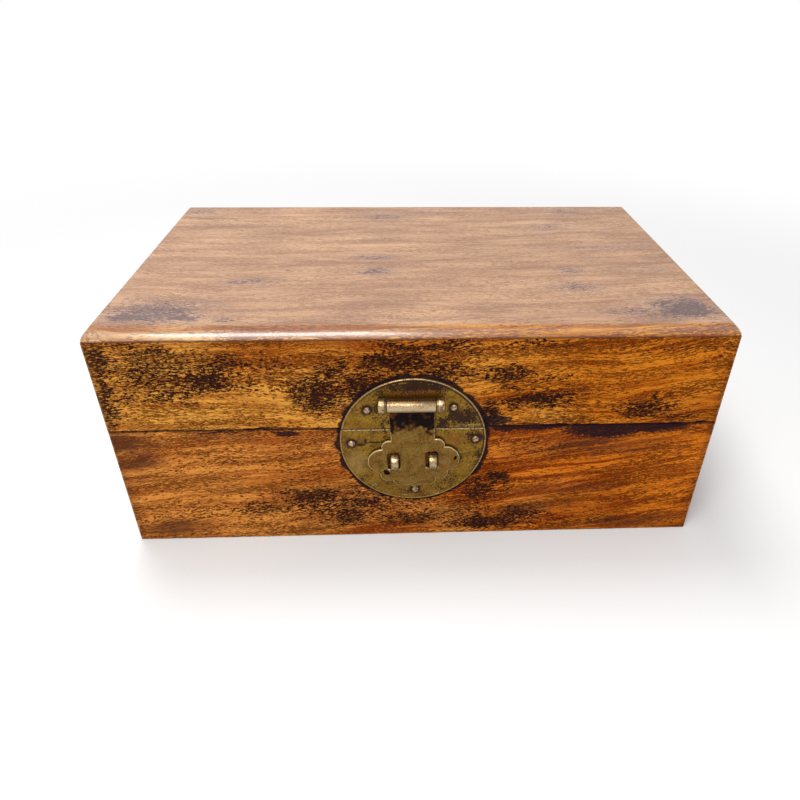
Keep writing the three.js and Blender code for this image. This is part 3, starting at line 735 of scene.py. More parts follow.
class Tree:
    """A node tree that is built from short expressions."""

    def __init__(self, nodes_of):
        self.tree = nodes_of.node_tree

    def node(self, kind, settings=None, **inputs):
        made = self.tree.nodes.new(kind)
        for key, value in (settings or {}).items():
            setattr(made, key, value)
        for key, value in inputs.items():
            self.feed(made.inputs[key], value)
        return made

    def wire(self, kind, settings, out, *values, **inputs):
        """An output of a new node, whose inputs are given by place, by name or both."""
        made = self.node(kind, settings, **inputs)
        for socket, value in zip(made.inputs, values):
            self.feed(socket, value)
        return Wire(self, made.outputs[out])

    def feed(self, socket, value):
        if isinstance(value, Wire):
            value = value.socket
        if isinstance(value, bpy.types.NodeSocket):
            self.tree.links.new(value, socket)
        else:
            socket.default_value = value

    def math(self, operation, *values):
        return self.wire("ShaderNodeMath", {"operation": operation}, 0, *values)

    def far(self, a, b):
        """How far (a, b) lies from (0, 0)."""
        return self.math("SQRT", a * a + b * b)


class Paint(Tree):
    """A new material."""

    def __init__(self, name):
        self.material = bpy.data.materials.new(name)
        self.material.use_nodes = True
        super().__init__(self.material)
        self.tree.nodes.clear()
        place = self.node("ShaderNodeTexCoord").outputs["Object"]
        scaled = self.wire("ShaderNodeVectorMath", {"operation": "MULTIPLY"}, 0, place, (1 / MM,) * 3)
        split = self.node("ShaderNodeSeparateXYZ", Vector=scaled)
        self.x, self.y, self.z = (Wire(self, out) for out in split.outputs)

    def vector(self, x, y, z):
        return self.wire("ShaderNodeCombineXYZ", None, 0, x, y, z)

    def noise(self, x, y, z, detail=2.0, rough=0.5):
        """Noise of about one bump for each unit of the three values, from 0 to 1 round 0.5."""
        return self.wire("ShaderNodeTexNoise", None, 0, Vector=self.vector(x, y, z), Scale=1.0,
                         Detail=detail, Roughness=rough)

    def cloud(self, size, detail, rough=0.5):
        """Noise with bumps of the same size in all three directions."""
        return self.noise(self.x / size, self.y / size, self.z / size, detail, rough)

    def blend(self, first, second, factor):
        made = self.node("ShaderNodeMix", {"data_type": "RGBA"})
        for place, value in ((0, factor), (6, first), (7, second)):
            self.feed(made.inputs[place], value)
        return Wire(self, made.outputs[2])

    def coats(self, color, *layers):
        """Lays coats of (colour, how much of it) over a colour, one after the other."""
        for coat, cover in layers:
            color = self.blend(color, coat, cover)
        return color

    def shader(self, color, roughness, **others):
        made = self.node("ShaderNodeBsdfPrincipled", Roughness=roughness)
        self.feed(made.inputs["Base Color"], color)
        for key, value in others.items():
            self.feed(made.inputs[key.replace("_", " ")], value)
        return made.outputs[0]

    def end(self, surface):
        self.node("ShaderNodeOutputMaterial", Surface=surface)
        return self.material

    def finish(self, color, roughness, height, relief, **others):
        """Ends the tree in one shader; relief is how high the bumps stand in metres."""
        normal = self.wire("ShaderNodeBump", None, 0, Height=height, Distance=relief)
        return self.end(self.shader(color, roughness, Normal=normal, **others))


# How high bumps stand, in metres
FRONT_RELIEF = 0.00036
RELIEF = 0.00022
LOW_RELIEF = 0.0002
FINE_RELIEF = 0.00012


def rgb(red, green, blue):
    """A colour as linear light, with full alpha."""
    return (red, green, blue, 1.0)


NOISE_SPREAD = 0.098


def score(*parts):
    """Adds noises by weight and returns how far the sum lies from its mean, in standard deviations."""
    total = sum(weight * weight for weight, _ in parts) ** 0.5
    return sum(noise.swing(weight / total / NOISE_SPREAD) for weight, noise in parts)


def spots(paint, across, up, places):
    """The strongest of several soft round spots, each from its rim at 0 to its own strength."""
    whole = 0.0
    for a, b, reach_a, reach_b, strength in places:
        place = paint.vector((across - a) / reach_a, (up - b) / reach_b, 0.0)
        away = paint.wire("ShaderNodeVectorMath", {"operation": "LENGTH"}, "Value", place)
        whole = (away.rise(1.6, 0.1) * strength).most(whole)
    return whole


# Wood

LACQUER = rgb(0.038, 0.009, 0.003)
LACQUER_BLACK = rgb(0.010, 0.002, 0.003)
LACQUER_BROWN = rgb(0.095, 0.026, 0.005)
STAIN = rgb(0.085, 0.026, 0.010)
PORE = rgb(0.110, 0.022, 0.001)
WOOD_GRIME_AND_SHADE = rgb(0.012, 0.005, 0.008)
ARRIS = rgb(0.50, 0.27, 0.12)
BARE = (rgb(0.42, 0.25, 0.13), rgb(0.27, 0.145, 0.065))
BARE_PORE = rgb(0.12, 0.055, 0.022)
# Tones of ground, its lightest and its darkest
GOLD = (rgb(0.63, 0.275, 0.042), rgb(0.32, 0.096, 0.011))
AMBER = (rgb(0.56, 0.170, 0.009), rgb(0.20, 0.034, 0.001))
RED_GOLD = (rgb(0.60, 0.225, 0.040), rgb(0.30, 0.078, 0.011))
RED_BROWN = (rgb(0.60, 0.160, 0.008), rgb(0.18, 0.023, 0.001))
LID_SIDE = (rgb(0.50, 0.180, 0.022), rgb(0.27, 0.072, 0.008))
BASE_SIDE = (rgb(0.48, 0.150, 0.018), rgb(0.24, 0.054, 0.006))

# Soft round spots. A row holds a spot's middle and its reach, both in x and z here, and its strength
# Remains of dark lacquer on the fronts of lid and base
LID_LACQUER = (
    (-174, 129, 11, 14, 1.0), (-140, 124, 50, 22, 0.76), (-152, 123, 20, 16, 0.84),
    (-117, 119, 18, 14, 1.0), (-137, 109, 22, 7, 0.86), (-57, 108, 21, 15, 1.06), (-83, 128, 24, 9, 0.66),
    (-176, 106, 9, 28, 0.95), (-12, 128, 27, 11, 1.12), (42, 94, 8, 10, 1.1), (70, 104, 26, 8, 1.08),
    (52, 119, 22, 9, 0.9), (136, 96, 26, 9, 0.9), (61, 139, 34, 4, 0.74), (144, 136, 36, 4, 0.6),
    (176, 137, 6, 6, 0.7), (-32, 114, 19, 15, 1.04), (-106, 129, 22, 10, 0.86), (-142, 136, 34, 7, 0.88),
    (-163, 108, 16, 8, 0.74), (14, 122, 18, 9, 0.98), (-95, 112, 16, 8, 0.6), (4, 138, 38, 5, 0.98),
    (-60, 95, 18, 4, 0.55), (-48, 123, 13, 9, 0.9), (152, 90, 24, 5, 0.72), (78, 117, 16, 6, 0.7),
    (104, 88, 26, 3, 0.5),
)
BASE_LACQUER = (
    (-66, 34, 28, 11, 0.98), (-46, 16, 22, 9, 0.92), (-6, 14, 40, 8, 0.86), (46, 9, 36, 8, 1.08),
    (47, 47, 10, 10, 1.02), (38, 36, 17, 10, 1.0), (66, 16, 22, 10, 0.9), (-32, 27, 16, 9, 0.9),
    (30, 22, 22, 10, 0.72), (-98, 25, 22, 8, 0.78), (84, 68, 20, 6, 0.66), (86, 44, 26, 5, 0.36),
    (90, 12, 20, 6, 0.6), (120, 8, 30, 4, 0.55), (-10, 30, 24, 5, 0.7), (-44, 28, 74, 22, 0.76),
    (20, 16, 74, 14, 0.68), (-120, 60, 60, 8, 0.36),
)
# Smooth brown stains in the base's front, under its polish
BASE_STAIN = (
    (-172, 78, 20, 11, 1.35), (-166, 62, 13, 10, 1.0), (-156, 11, 22, 8, 1.1), (112, 70, 42, 9, 0.95),
    (143, 7, 35, 7, 0.8), (97, 36, 34, 5, 0.5), (174, 43, 4, 2, 0.6), (-116, 80, 20, 4, 0.8),
    (92, 22, 34, 4, 0.4), (-40, 76, 20, 6, 0.5),
)
# Solid black grime along the seam
LID_GRIME = (
    (46, 89, 9, 4.2, 1.15), (171, 86, 6, 1.8, 1.0), (-92, 86, 14, 0.9, 0.8), (80, 86, 30, 0.8, 0.7),
)
BASE_GRIME = (
    (112, 82, 26, 6.4, 1.3), (142, 83, 24, 4.4, 1.25), (72, 83.5, 24, 1.8, 0.9), (-78, 82, 9, 2.6, 1.1),
    (-118, 84, 20, 0.8, 0.8), (52, 84, 12, 3, 1.0),
)
# Places where the wood shows its lightest gold
LID_GOLD = (
    (-112, 94, 62, 11, 0.5), (118, 119, 46, 9, 0.45), (-78, 90, 22, 7, 0.4), (168, 116, 14, 12, 0.5),
    (108, 101, 24, 7, 0.3),
)
BASE_GOLD = (
    (-112, 44, 50, 14, 0.5), (-98, 10, 34, 9, 0.6), (152, 38, 18, 22, 0.5), (-118, 66, 30, 8, 0.3),
    (176, 60, 8, 20, 0.5), (110, 28, 30, 6, 0.3),
)


class Wood:
    """The noises that every board shares: its grain, pores and the flecks that break up old lacquer."""

    def __init__(self, paint, along, across, deep, slope, turn, seed):
        """The grain slopes, bends and waves along the board."""
        bend = across - along * slope - along * along * (turn / 2)
        wave = paint.noise(along / 95, bend / 30, deep / 60 + seed, 1.5)
        small_wave = paint.noise(along / 17, bend / 7, deep / 20 + seed, 1.5)
        line = bend + wave.swing(20) + small_wave.swing(3.0)
        self.band = paint.noise(along / 120, line / 7.5, deep / 9 + seed, 4.0, 0.6)
        self.streak = paint.noise(along / 34, line / 1.5, deep / 3 + seed, 3.0)
        self.drift = paint.noise(along / 60, across / 40, seed + 7.0, 1.0)
        self.dash = paint.noise(along / 4.0, line / 0.62, deep / 0.8 + seed, 3.0, 0.55)
        self.fleck = paint.noise(along / 1.5, line / 0.55, deep / 0.8 + seed, 3.0, 0.6)
        self.speck = paint.noise(along / 2.0, across / 1.2, deep / 1.5 + seed, 4.0, 0.65)
        self.torn = paint.noise(along / 12, across / 7, seed + 3.0, 4.0, 0.62)
        self.torn_too = paint.noise(along / 15, across / 8, seed + 13.0, 4.0, 0.62)
        thick = score((1.0, paint.noise(along / 55, line / 9, seed + 17.0)))
        self.pores = (score((0.85, self.dash), (0.5, self.fleck)) + thick * 0.5).rise(0.0, 0.75)

    def tone(self, band, streak, drift, middle=0.5):
        """0 for the lightest ground and 1 for the darkest."""
        whole = self.band.swing(band) + self.streak.swing(streak) + self.drift.swing(drift) + middle
        return whole.most(0.0).least(1.0)

    def crust(self, cover, sharp):
        """Where lacquer is left, for a cover of 0 for none to 1 for nearly all of it."""
        broken = score((0.6, self.dash), (0.45, self.fleck), (0.5, self.speck))
        return (broken - 2.6 + cover * 3.7).rise(-sharp, sharp)


def bare_wood(paint, wood):
    """The inside of the boards: never polished, a little dusty."""
    return paint.coats(BARE[0], (BARE[1], wood.tone(3.0, 2.4, 1.0)), (BARE_PORE, wood.pores * 0.6))


def lacquered(paint, wood, color, cover):
    """Lays what is left of the lacquer over a colour: thin and brown round its flecks, dark in them."""
    crust = wood.crust(cover * 0.94, 0.4)
    coat = paint.blend(LACQUER, LACQUER_BLACK, wood.speck.rise(0.42, 0.58))
    thin = wood.crust(cover * 1.15, 1.4)
    return paint.coats(color, (LACQUER_BROWN, thin * 0.75), (coat, crust * 0.95)), crust


def finish_board(paint, wood, color, crust, end, inside, relief, shine):
    """Rubs a board's end and foot light, leaves its inside bare and ends the material."""
    foot = (paint.z + wood.torn.swing(3)).rise(1.3, 0.3)
    color = paint.coats(color, (ARRIS, end), (ARRIS, foot * 0.5), (bare_wood(paint, wood), inside))
    gloss = 0.42 - crust * 0.12 + wood.pores * 0.12 + wood.torn.swing(0.25) + inside * 0.25
    height = crust * 0.55 - wood.pores * 0.5 + wood.streak * 0.3 + wood.torn * 0.9
    return paint.finish(color, gloss, height, relief, Specular_IOR_Level=shine)


def front_wood(name, left_tones, right_tones, lacquer, stain, grime, gold, seed, slope, turn):
    """The two front boards: golden to red-brown wood, short dark pores and worn dark lacquer."""
    paint = Paint(name)
    along, up = paint.x, paint.z
    wood = Wood(paint, along, up, paint.y, slope, turn, seed)
    torn, torn_too, speck = wood.torn.swing, wood.torn_too.swing, wood.speck.swing
    place = (along + torn(42), up + torn_too(24))
    rightness = (along / (2 * HALF_WIDTH) + 0.5 + wood.drift.swing(1.2)).rise(0.25, 0.8)
    light, deep = (paint.blend(left, right, rightness) for left, right in zip(left_tones, right_tones))
    tone = wood.tone(3.6, 3.4, 1.2, 0.54) - spots(paint, *place, gold) * 0.8
    pale = score((0.7, wood.fleck), (0.7, wood.speck)).rise(-0.7, -1.6)
    color = paint.coats(light, (deep, tone.most(0.0)), (PORE, wood.pores * 0.9), (light, pale * 0.8))
    if stain:
        veil = spots(paint, *place, stain) * (wood.band.swing(1.6) + 0.6)
        color = paint.blend(color, STAIN, veil.most(0.0).least(0.88))
    color, crust = lacquered(paint, wood, color, spots(paint, *place, lacquer))

    solid = spots(paint, along + torn(16), up + torn_too(7), grime) + speck(1.6)
    # A dark ring round the lock plate: grime and painted shade.
    ring = (paint.far(along - PLATE_X, up - PLATE_Z) - PLATE_RADIUS + torn(9) + speck(2)).rise(3.0, 1.7)
    seam = ((up - SEAM).size() + torn(4)).rise(1.5, 0.35)
    end = HALF_WIDTH - along.size() + torn(5)
    brown = end.rise(7.0, 1.5) * (wood.speck + 0.1).rise(0.42, 0.62)
    color = paint.coats(
        color, (WOOD_GRIME_AND_SHADE, solid.rise(0.25, 0.75) * 0.92), (WOOD_GRIME_AND_SHADE, ring * 0.95), (WOOD_GRIME_AND_SHADE, seam * 0.85),
        (LACQUER_BROWN, brown * 0.5))
    inside = (paint.y - FRONT).rise(1.2, 2.4)
    return finish_board(paint, wood, color, crust, end.rise(1.5, 0.3) * 0.62, inside, FRONT_RELIEF, 0.03)


# The top's ground, its lightest and darkest: paler and greyer than its wood, partly as a painted sheen
TOP_TAN_AND_SHEEN = (rgb(0.405, 0.232, 0.123), rgb(0.265, 0.139, 0.076))
EDGE_LEFT = rgb(0.43, 0.235, 0.082)
EDGE_RIGHT = rgb(0.47, 0.180, 0.010)
EDGE_DEEP = rgb(0.22, 0.070, 0.010)
TOP_PORE = rgb(0.16, 0.070, 0.042)
TOP_HAZE = rgb(0.20, 0.130, 0.115)
TOP_VEIL = rgb(0.060, 0.038, 0.046)
TOP_SCRATCH = rgb(0.16, 0.07, 0.045)
TOP_LOWER = rgb(0.085, 0.024, 0.006)
# Grey remains of lacquer on the top, and its thin dark scratches and shakes, in x and y
TOP_VEILS = (
    (-148, -88, 34, 20, 0.9), (-160, -94, 16, 9, 1.12), (-131, -95, 10, 7, 1.1), (158, -88, 28, 19, 1.04),
    (128, -92, 22, 8, 0.7), (-104, -99, 10, 3, 0.8), (-104, -43, 22, 5, 0.72), (-26, -2, 16, 6, 0.72),
    (-25, -27, 14, 7, 0.82), (-80, -24, 2, 2, 0.9), (-163, 104, 18, 8, 0.7), (-19, 89, 22, 11, 0.66),
    (104, -26, 12, 8, 0.74), (101, -56, 18, 9, 0.74), (126, 102, 28, 8, 0.7), (107, 62, 22, 12, 0.58),
    (137, 17, 38, 7, 0.5), (147, -24, 34, 5, 0.46), (11, 103, 40, 6, 0.5),
)
TOP_LINES = (
    (-150, -20, 0.5, 7, 0.9), (-143, -15, 5, 0.7, 0.8), (-162, -28, 4, 0.5, 0.6),
    (-70, -16, 22, 0.6, 0.6), (67, 37, 30, 0.6, 0.6), (78, -11, 22, 0.6, 0.55), (-101, -46, 26, 0.5, 0.6),
    (31, 63, 24, 0.5, 0.5),
)


def top_wood(name):
    """The lid's top: tan wood whose pale, greyish ground is partly a painted sheen, with grey remains of
    lacquer.
    """
    paint = Paint(name)
    along, across, under = paint.x, paint.y, LID_TOP - paint.z
    wood = Wood(paint, along, across, paint.z, slope=0.02, turn=0.0003, seed=11.0)
    torn = wood.torn.swing
    golden = (across + along * 0.012 + torn(6)).rise(FRONT + 13.0, FRONT + 10.0)
    rim = golden.most((HALF_WIDTH - along.size()).rise(2.6, 1.2).most((BACK - across).rise(3.6, 2.0)))
    light = paint.blend(EDGE_LEFT, EDGE_RIGHT, (along + wood.drift.swing(90)).rise(-60, 60))
    edge = paint.blend(light, EDGE_DEEP, wood.tone(4.0, 3.4, 0.9))
    pore = paint.blend(TOP_PORE, PORE, golden)
    flat = under.rise(1.2, 0.4)
    cover = spots(paint, along + torn(34), across + wood.torn_too.swing(20), TOP_VEILS) * flat * (1 - golden)
    veil = wood.crust(cover, 0.45)
    line = spots(paint, along + torn(4), across + torn(5), TOP_LINES) * flat
    lower = (paint.z - BOARDS_TOP + torn(2)).rise(1.4, 0.4) * rim
    # The ground is partly a painted sheen; the golden edges are left without it.
    color = paint.coats(
        TOP_TAN_AND_SHEEN[0], (TOP_TAN_AND_SHEEN[1], wood.tone(1.5, 1.9, 1.6)), (edge, rim), (pore, wood.pores * (golden * 0.25 + 0.62)),
        (TOP_HAZE, cover * 0.5), (TOP_VEIL, veil * 0.8), (TOP_SCRATCH, line * 0.8),
        (TOP_LOWER, lower * 0.85), (bare_wood(paint, wood), under.rise(3.55, 3.75)))
    shoulder = golden * under.rise(0.02, 0.3) * under.rise(2.4, 1.4)
    gloss = 0.44 + torn(0.5) * (1 - golden * 0.7) + wood.pores * 0.12 - shoulder * 0.22 + veil * 0.1
    height = (veil * 0.4 - wood.pores * 0.5 + wood.streak * 0.3 + wood.torn * 0.9) * (1 - golden * 0.6)
    return paint.finish(color, gloss, height, RELIEF, Specular_IOR_Level=0.42,
                        Coat_Weight=shoulder * 0.95, Coat_Roughness=0.22)


def hinge_gap(along, up):
    """How far a point of the back lies from the nearer hinge's leaves."""
    low, high = box_mm("hinge_right_lower_leaf")
    top = box_mm("hinge_right_upper_leaf")[1][2]
    beside = (along.size() - (low[0] + high[0]) / 2).size() - (high[0] - low[0]) / 2
    return beside.most((up - (low[2] + top) / 2).size() - (top - low[2]) / 2)


def side_wood(name, seed, side, tones, covered):
    """A board that the photograph doesn't show, in the same wood and with the same wear."""
    paint = Paint(name)
    up = paint.z
    if side == "back":
        along, into, half, reach, bare_from = paint.x, paint.y, HALF_WIDTH, BACK, 4.6
    else:
        along, into, half, reach, bare_from = paint.y, paint.x, BACK, HALF_WIDTH, 1.2
    depth = reach - into.size()
    wood = Wood(paint, along, up, into, slope=0.05, turn=0.0005, seed=seed)
    torn = wood.torn.swing
    color = paint.coats(tones[0], (tones[1], wood.tone(3.4, 2.2, 1.4)), (PORE, wood.pores * 0.85))
    wide = paint.noise(along / 46, up / 22, seed + 5.0, 3.0, 0.6)
    cover = score((1.0, wide), (0.4, wood.torn)).rise(0.1, 1.6) * covered
    color, crust = lacquered(paint, wood, color, cover)
    color = paint.blend(color, WOOD_GRIME_AND_SHADE, ((up - SEAM).size() + torn(3)).rise(1.1, 0.35) * 0.7)
    if side == "back":
        bevel = (depth + wood.speck.swing(2)).rise(0.4, 2.4)
        round_hinge = (hinge_gap(along, up) + torn(6)).rise(1.8, 0.6)
        color = paint.coats(color, (WOOD_GRIME_AND_SHADE, bevel * 0.75), (WOOD_GRIME_AND_SHADE, round_hinge * 0.9))
    end = (half - along.size() + torn(5)).rise(1.5, 0.3)
    inside = depth.rise(bare_from, bare_from + 1.2)
    return finish_board(paint, wood, color, crust, end * 0.6, inside, RELIEF, 0.1)


DUST = rgb(0.20, 0.15, 0.10)
UNDERSIDE = rgb(0.09, 0.06, 0.04)


def floor_wood(name):
    """The base's bottom panel: dry, dusty wood."""
    paint = Paint(name)
    wood = Wood(paint, paint.x, paint.y, paint.z, slope=0.03, turn=0.0002, seed=80.0)
    color = paint.coats(bare_wood(paint, wood), (DUST, wood.drift.rise(0.4, 0.65) * 0.5),
                        (UNDERSIDE, paint.z.rise(0.6, 0.2) * 0.5))
    height = wood.streak * 0.5 - wood.pores * 0.5
    return paint.finish(color, 0.7 + wood.pores * 0.1, height, LOW_RELIEF, Specular_IOR_Level=0.2)


# Brass

PLATE_NAILS = tuple("plate_nail_" + name for name in (
    "upper_left", "upper_right", "lower_left", "lower_right", "bottom"))
NAIL_RING = (3.9, 3.9, 1.0)
# Dark spots on the lock plate, grime and, along the hasp's lower and right edge, painted shade; brown film,
# pale worn places and scratches, in x and z
PLATE_GRIME_AND_SHADE = (
    (26.3, 93.3, 11, 8, 0.95), (14.8, 87.7, 5, 6, 0.85), (-1, 113, 20, 4.6, 1.05),
    (-20.9, 108.8, 7, 5, 0.6), (-25.9, 93.8, 4, 4, 0.6), (-19.6, 84.7, 3, 9, 0.7),
    (33.3, 78.7, 6, 5, 0.85), (-2.4, 100.8, 22, 4.5, 0.75), (-23.3, 99.8, 4, 6, 0.6),
    (14.5, 70.6, 4, 4, 0.4), (-13.5, 62.5, 4, 6, 1.1), (9.8, 62.5, 4, 6, 1.1), (-19, 54, 4.5, 4.5, 1.4),
    (23.2, 62.4, 3, 3, 1.1), (24, 46, 9, 6, 0.55), (2, 38.5, 24, 2.5, 0.5), (-31, 52, 7, 5, 0.4),
    (36, 64, 5, 9, 0.45), (-21.5, 69, 4, 4, 0.7),
)
PLATE_FILM = (
    (19.3, 74.7, 9, 6, 0.7), (-3, 107, 14, 3.0, 1.0), (0.6, 36.5, 26, 4, 0.35), (-35.2, 86.7, 6, 4, 0.3),
)
PLATE_PALE = (
    (-8.1, 35.1, 1.8, 1.2, 0.8), (11.3, 35.1, 1.2, 1.0, 1.0), (8.1, 33.9, 0.7, 0.5, 0.8),
    (-26.2, 43.3, 1.6, 1.0, 0.7), (30.4, 56.8, 0.7, 0.6, 0.9), (33, 55.2, 0.6, 0.5, 0.7),
    (28.4, 68.6, 3, 0.5, 0.5), (-37.2, 60.6, 6, 9, 0.3), (31.4, 86.3, 7, 0.5, 0.6),
)
PLATE_SCRATCHES = (
    (-33.9, 74.1, 3.0, 1.0, 1.2), (-31.0, 76.5, 0.9, 2.1, 1.2), (-26.0, 75.4, 6.0, 0.7, 1.2),
    (-19.5, 75.2, 3, 0.6, 0.9), (-27.5, 72.7, 1.6, 0.7, 0.95), (-32.4, 61.8, 0.6, 0.5, 0.9),
    (-37.4, 65.6, 0.4, 0.4, 0.7), (22.5, 67.1, 0.5, 2.0, 0.4), (-34.2, 56.6, 4, 0.25, 0.4),
    (36.4, 66.6, 0.3, 2.5, 0.5), (-29.2, 47.5, 3, 0.3, 0.4), (26.4, 48.5, 5, 0.3, 0.4),
)
# A painted reflection of the barrel: an orange-brown streak on the plate just above it
PLATE_BARREL_REFLECTION = (-2, 109.4, 17, 1.6, 1.2)
OLIVE = rgb(0.265, 0.148, 0.010)
OLIVE_DEEP = rgb(0.130, 0.062, 0.006)
OLIVE_PIT = rgb(0.075, 0.032, 0.008)
WORN_BRASS = rgb(0.46, 0.32, 0.15)
BRASS_GRIME_AND_SHADE = rgb(0.028, 0.010, 0.007)
BROWN_FILM = rgb(0.200, 0.070, 0.012)
BARREL_REFLECTION_BROWN = rgb(0.300, 0.110, 0.022)
LIP_BRIGHT = rgb(0.50, 0.38, 0.22)


def patina(paint, grain=1.0):
    """Mottled olive patina, and the noises that it is made of."""
    cloud = paint.cloud(8 * grain, 5.0, 0.62)
    fine = paint.cloud(1.1 * grain, 4.0, 0.68)
    pitted = paint.cloud(0.6 * grain, 2.0).rise(0.52, 0.66)
    color = paint.coats(
        OLIVE, (OLIVE_DEEP, score((0.6, cloud), (0.8, fine)).rise(-1.1, 1.2)),
        (WORN_BRASS, score((0.5, cloud), (0.8, fine)).rise(-1.5, -3.0) * 0.5),
        (BRASS_GRIME_AND_SHADE, fine.rise(0.63, 0.72) * 0.8), (OLIVE_PIT, pitted * 0.75))
    return color, cloud, fine


def hasp_gap(paint):
    """How far a place on the plate lies outside the hasp that hangs over it."""
    lean_x, lean_z = hung(0.0, 0.0)
    cos, sin = math.cos(HASP_SKEW), math.sin(HASP_SKEW)
    dx, dz = paint.x - lean_x, paint.z - lean_z
    beside = (dx * cos + dz * sin).size()
    above = dz * cos - dx * sin
    gaps = [paint.far(beside - a, above - b) - radius for a, b, radius in HASP_ROUNDS]
    gaps += [(beside - half).most((above - (low + high) / 2).size() - (high - low) / 2)
             for half, low, high in HASP_SLABS]
    whole = gaps[0]
    for gap in gaps[1:]:
        whole = whole.least(gap)
    return whole


def plate_brass(name):
    """The lock plate: olive patina, brown grime and painted shade round its fittings, the hasp's painted
    shadow, a painted reflection of the barrel and a bright raised rim.
    """
    paint = Paint(name)
    x, z = paint.x, paint.z
    color, cloud, fine = patina(paint)
    tear = paint.noise(x / 5, z / 5, 3.0, 4.0, 0.65).swing
    place = (x + tear(14), z + tear(10))
    low_z = z + tear(3)
    # Dark spots: grime, and painted shade along the hasp's lower and right edge
    grime = spots(paint, *place, PLATE_GRIME_AND_SHADE)
    crust = (score((0.7, fine), (0.5, cloud)) - 1.7 + grime * 3.4).rise(-0.9, 0.9)
    nail_rings = [(*middle_of(nail)[[0, 2]], *NAIL_RING) for nail in PLATE_NAILS]
    rings = spots(paint, x + tear(3), low_z, nail_rings).rise(0.15, 0.7)
    marks = spots(paint, x + tear(2), low_z, PLATE_SCRATCHES)
    # Painted shadow of the hasp: dark just outside its outline, stronger to its right and below, and dark
    # under it where the slots show.
    shade = (hasp_gap(paint) + tear(3)).rise(1.9, 0.1) * (0.68 + (x - z * 0.3) / 60)
    dark = crust.most(rings).most(marks).most(shade.least(0.95))
    # The painted reflection of the barrel, broken by the fine mottling
    streak = spots(paint, x + tear(12), low_z, [PLATE_BARREL_REFLECTION]).least(1.0) * fine.rise(0.62, 0.45)

    dx, dz, above = x - PLATE_X, z - PLATE_Z, z - SEAM_LOW
    away = paint.far(dx, dz) - PLATE_RADIUS
    corner = (dx * 0.6 + dz * 0.8) / PLATE_RADIUS
    groove = away.rise(-2.2, -1.6) * away.rise(-0.9, -1.3) * (corner.rise(-0.2, 0.6) * 0.75 + 0.2)
    # The rim is rubbed brass, painted lighter towards the top as a painted highlight.
    worn = away.rise(-0.95, -0.6) * (1.0 - fine.rise(0.5, 0.62) * 0.6) * (0.5 + dz / PLATE_RADIUS * 0.25)
    seam = above.rise(0.0, 0.2) * above.rise(1.0, 0.4)
    lip = above.rise(-0.95, -0.5) * above.rise(0.1, 0.0) * away.rise(-0.5, -1.5) * fine.rise(0.60, 0.48)
    color = paint.coats(
        color, (BROWN_FILM, spots(paint, *place, PLATE_FILM) * 0.85), (BRASS_GRIME_AND_SHADE, dark * 0.93),
        (BARREL_REFLECTION_BROWN, streak * 0.75), (WORN_BRASS, spots(paint, *place, PLATE_PALE) * 0.7),
        (BRASS_GRIME_AND_SHADE, groove), (WORN_BRASS, worn.least(1.0)), (BRASS_GRIME_AND_SHADE, seam * 0.8),
        (LIP_BRIGHT, lip * 0.8))
    rough = 0.40 + cloud.swing(0.5) + dark * 0.22 - worn * 0.12
    height = cloud * 0.5 + fine * 0.25 + crust * 0.3 - marks * 0.6
    return paint.finish(color, rough, height, RELIEF, Metallic=0.82)


HASP_BROWN = rgb(0.175, 0.112, 0.048)
HASP_SHADOW_AND_GRIME = rgb(0.007, 0.003, 0.004)
ROLL_DARK = rgb(0.14, 0.080, 0.034)
ROLL_HIGHLIGHT = rgb(0.49, 0.370, 0.215)
ROLL_FILM = rgb(0.22, 0.13, 0.06)
RUBBED_BRASS = rgb(0.58, 0.42, 0.22)


def hasp_brass(name):
    """The hasp: brown-olive patina, a bright rubbed outline, a polished barrel with a painted highlight band,
    and grime with the barrel's painted shadow below it.
    """
    paint = Paint(name)
    x, y, z = paint.x, paint.y, paint.z
    color, cloud, fine = patina(paint, 0.9)
    tear = paint.noise(x / 4, z / 4, 8.0, 4.0, 0.65)
    low = BARREL_Z - BARREL_RADIUS
    # The dark band on the strap below the barrel is grime and the barrel's painted shadow.
    below = (z + tear.swing(26) + (x - BARREL_X).size() * 0.2).rise(low - 15.5, low - 10.5)
    stain = below * (y - BARREL_Y).rise(0.5, 2.4)
    brown = paint.noise(x / 6, z / 6, 4.0, 3.0).rise(0.5, 0.68)
    above = z - BARREL_Z
    roll = paint.far(y - BARREL_Y, above).rise(BARREL_RADIUS + 0.5, BARREL_RADIUS + 0.1)
    roll = roll * y.rise(BARREL_Y + 3.2, BARREL_Y + 2.0)
    # The barrel is painted with a bright highlight band across its middle, darker above and below it.
    fade = above.rise(-4.0, 0.2) * (above + fine.swing(5)).rise(3.4, 1.2)
    film = score((0.6, cloud), (0.8, fine)).rise(0.4, 1.8)
    polished = paint.coats(ROLL_DARK, (ROLL_HIGHLIGHT, fade), (ROLL_FILM, film * 0.8))
    rub = paint.wire("ShaderNodeAttribute", {"attribute_name": "rub"}, "Fac")
    worn = (rub + fine.swing(1.1) - stain * 0.25).rise(0.42, 0.78)
    color = paint.coats(
        color, (HASP_BROWN, score((0.7, fine), (0.4, cloud)).rise(1.0, -1.0) * 0.6),
        (HASP_SHADOW_AND_GRIME, stain * (0.99 - fine.rise(0.62, 0.74) * 0.25)), (BROWN_FILM, brown * 0.5),
        (polished, roll), (RUBBED_BRASS, worn * 0.95))
    rough = 0.42 + cloud.swing(0.5) - worn * 0.05 - roll * 0.12 + stain * 0.25
    height = cloud * 0.5 + fine * 0.22 + stain * 0.3
    return paint.finish(color, rough, height, LOW_RELIEF, Metallic=0.84 - worn * 0.45,
                        Specular_IOR_Level=0.25)


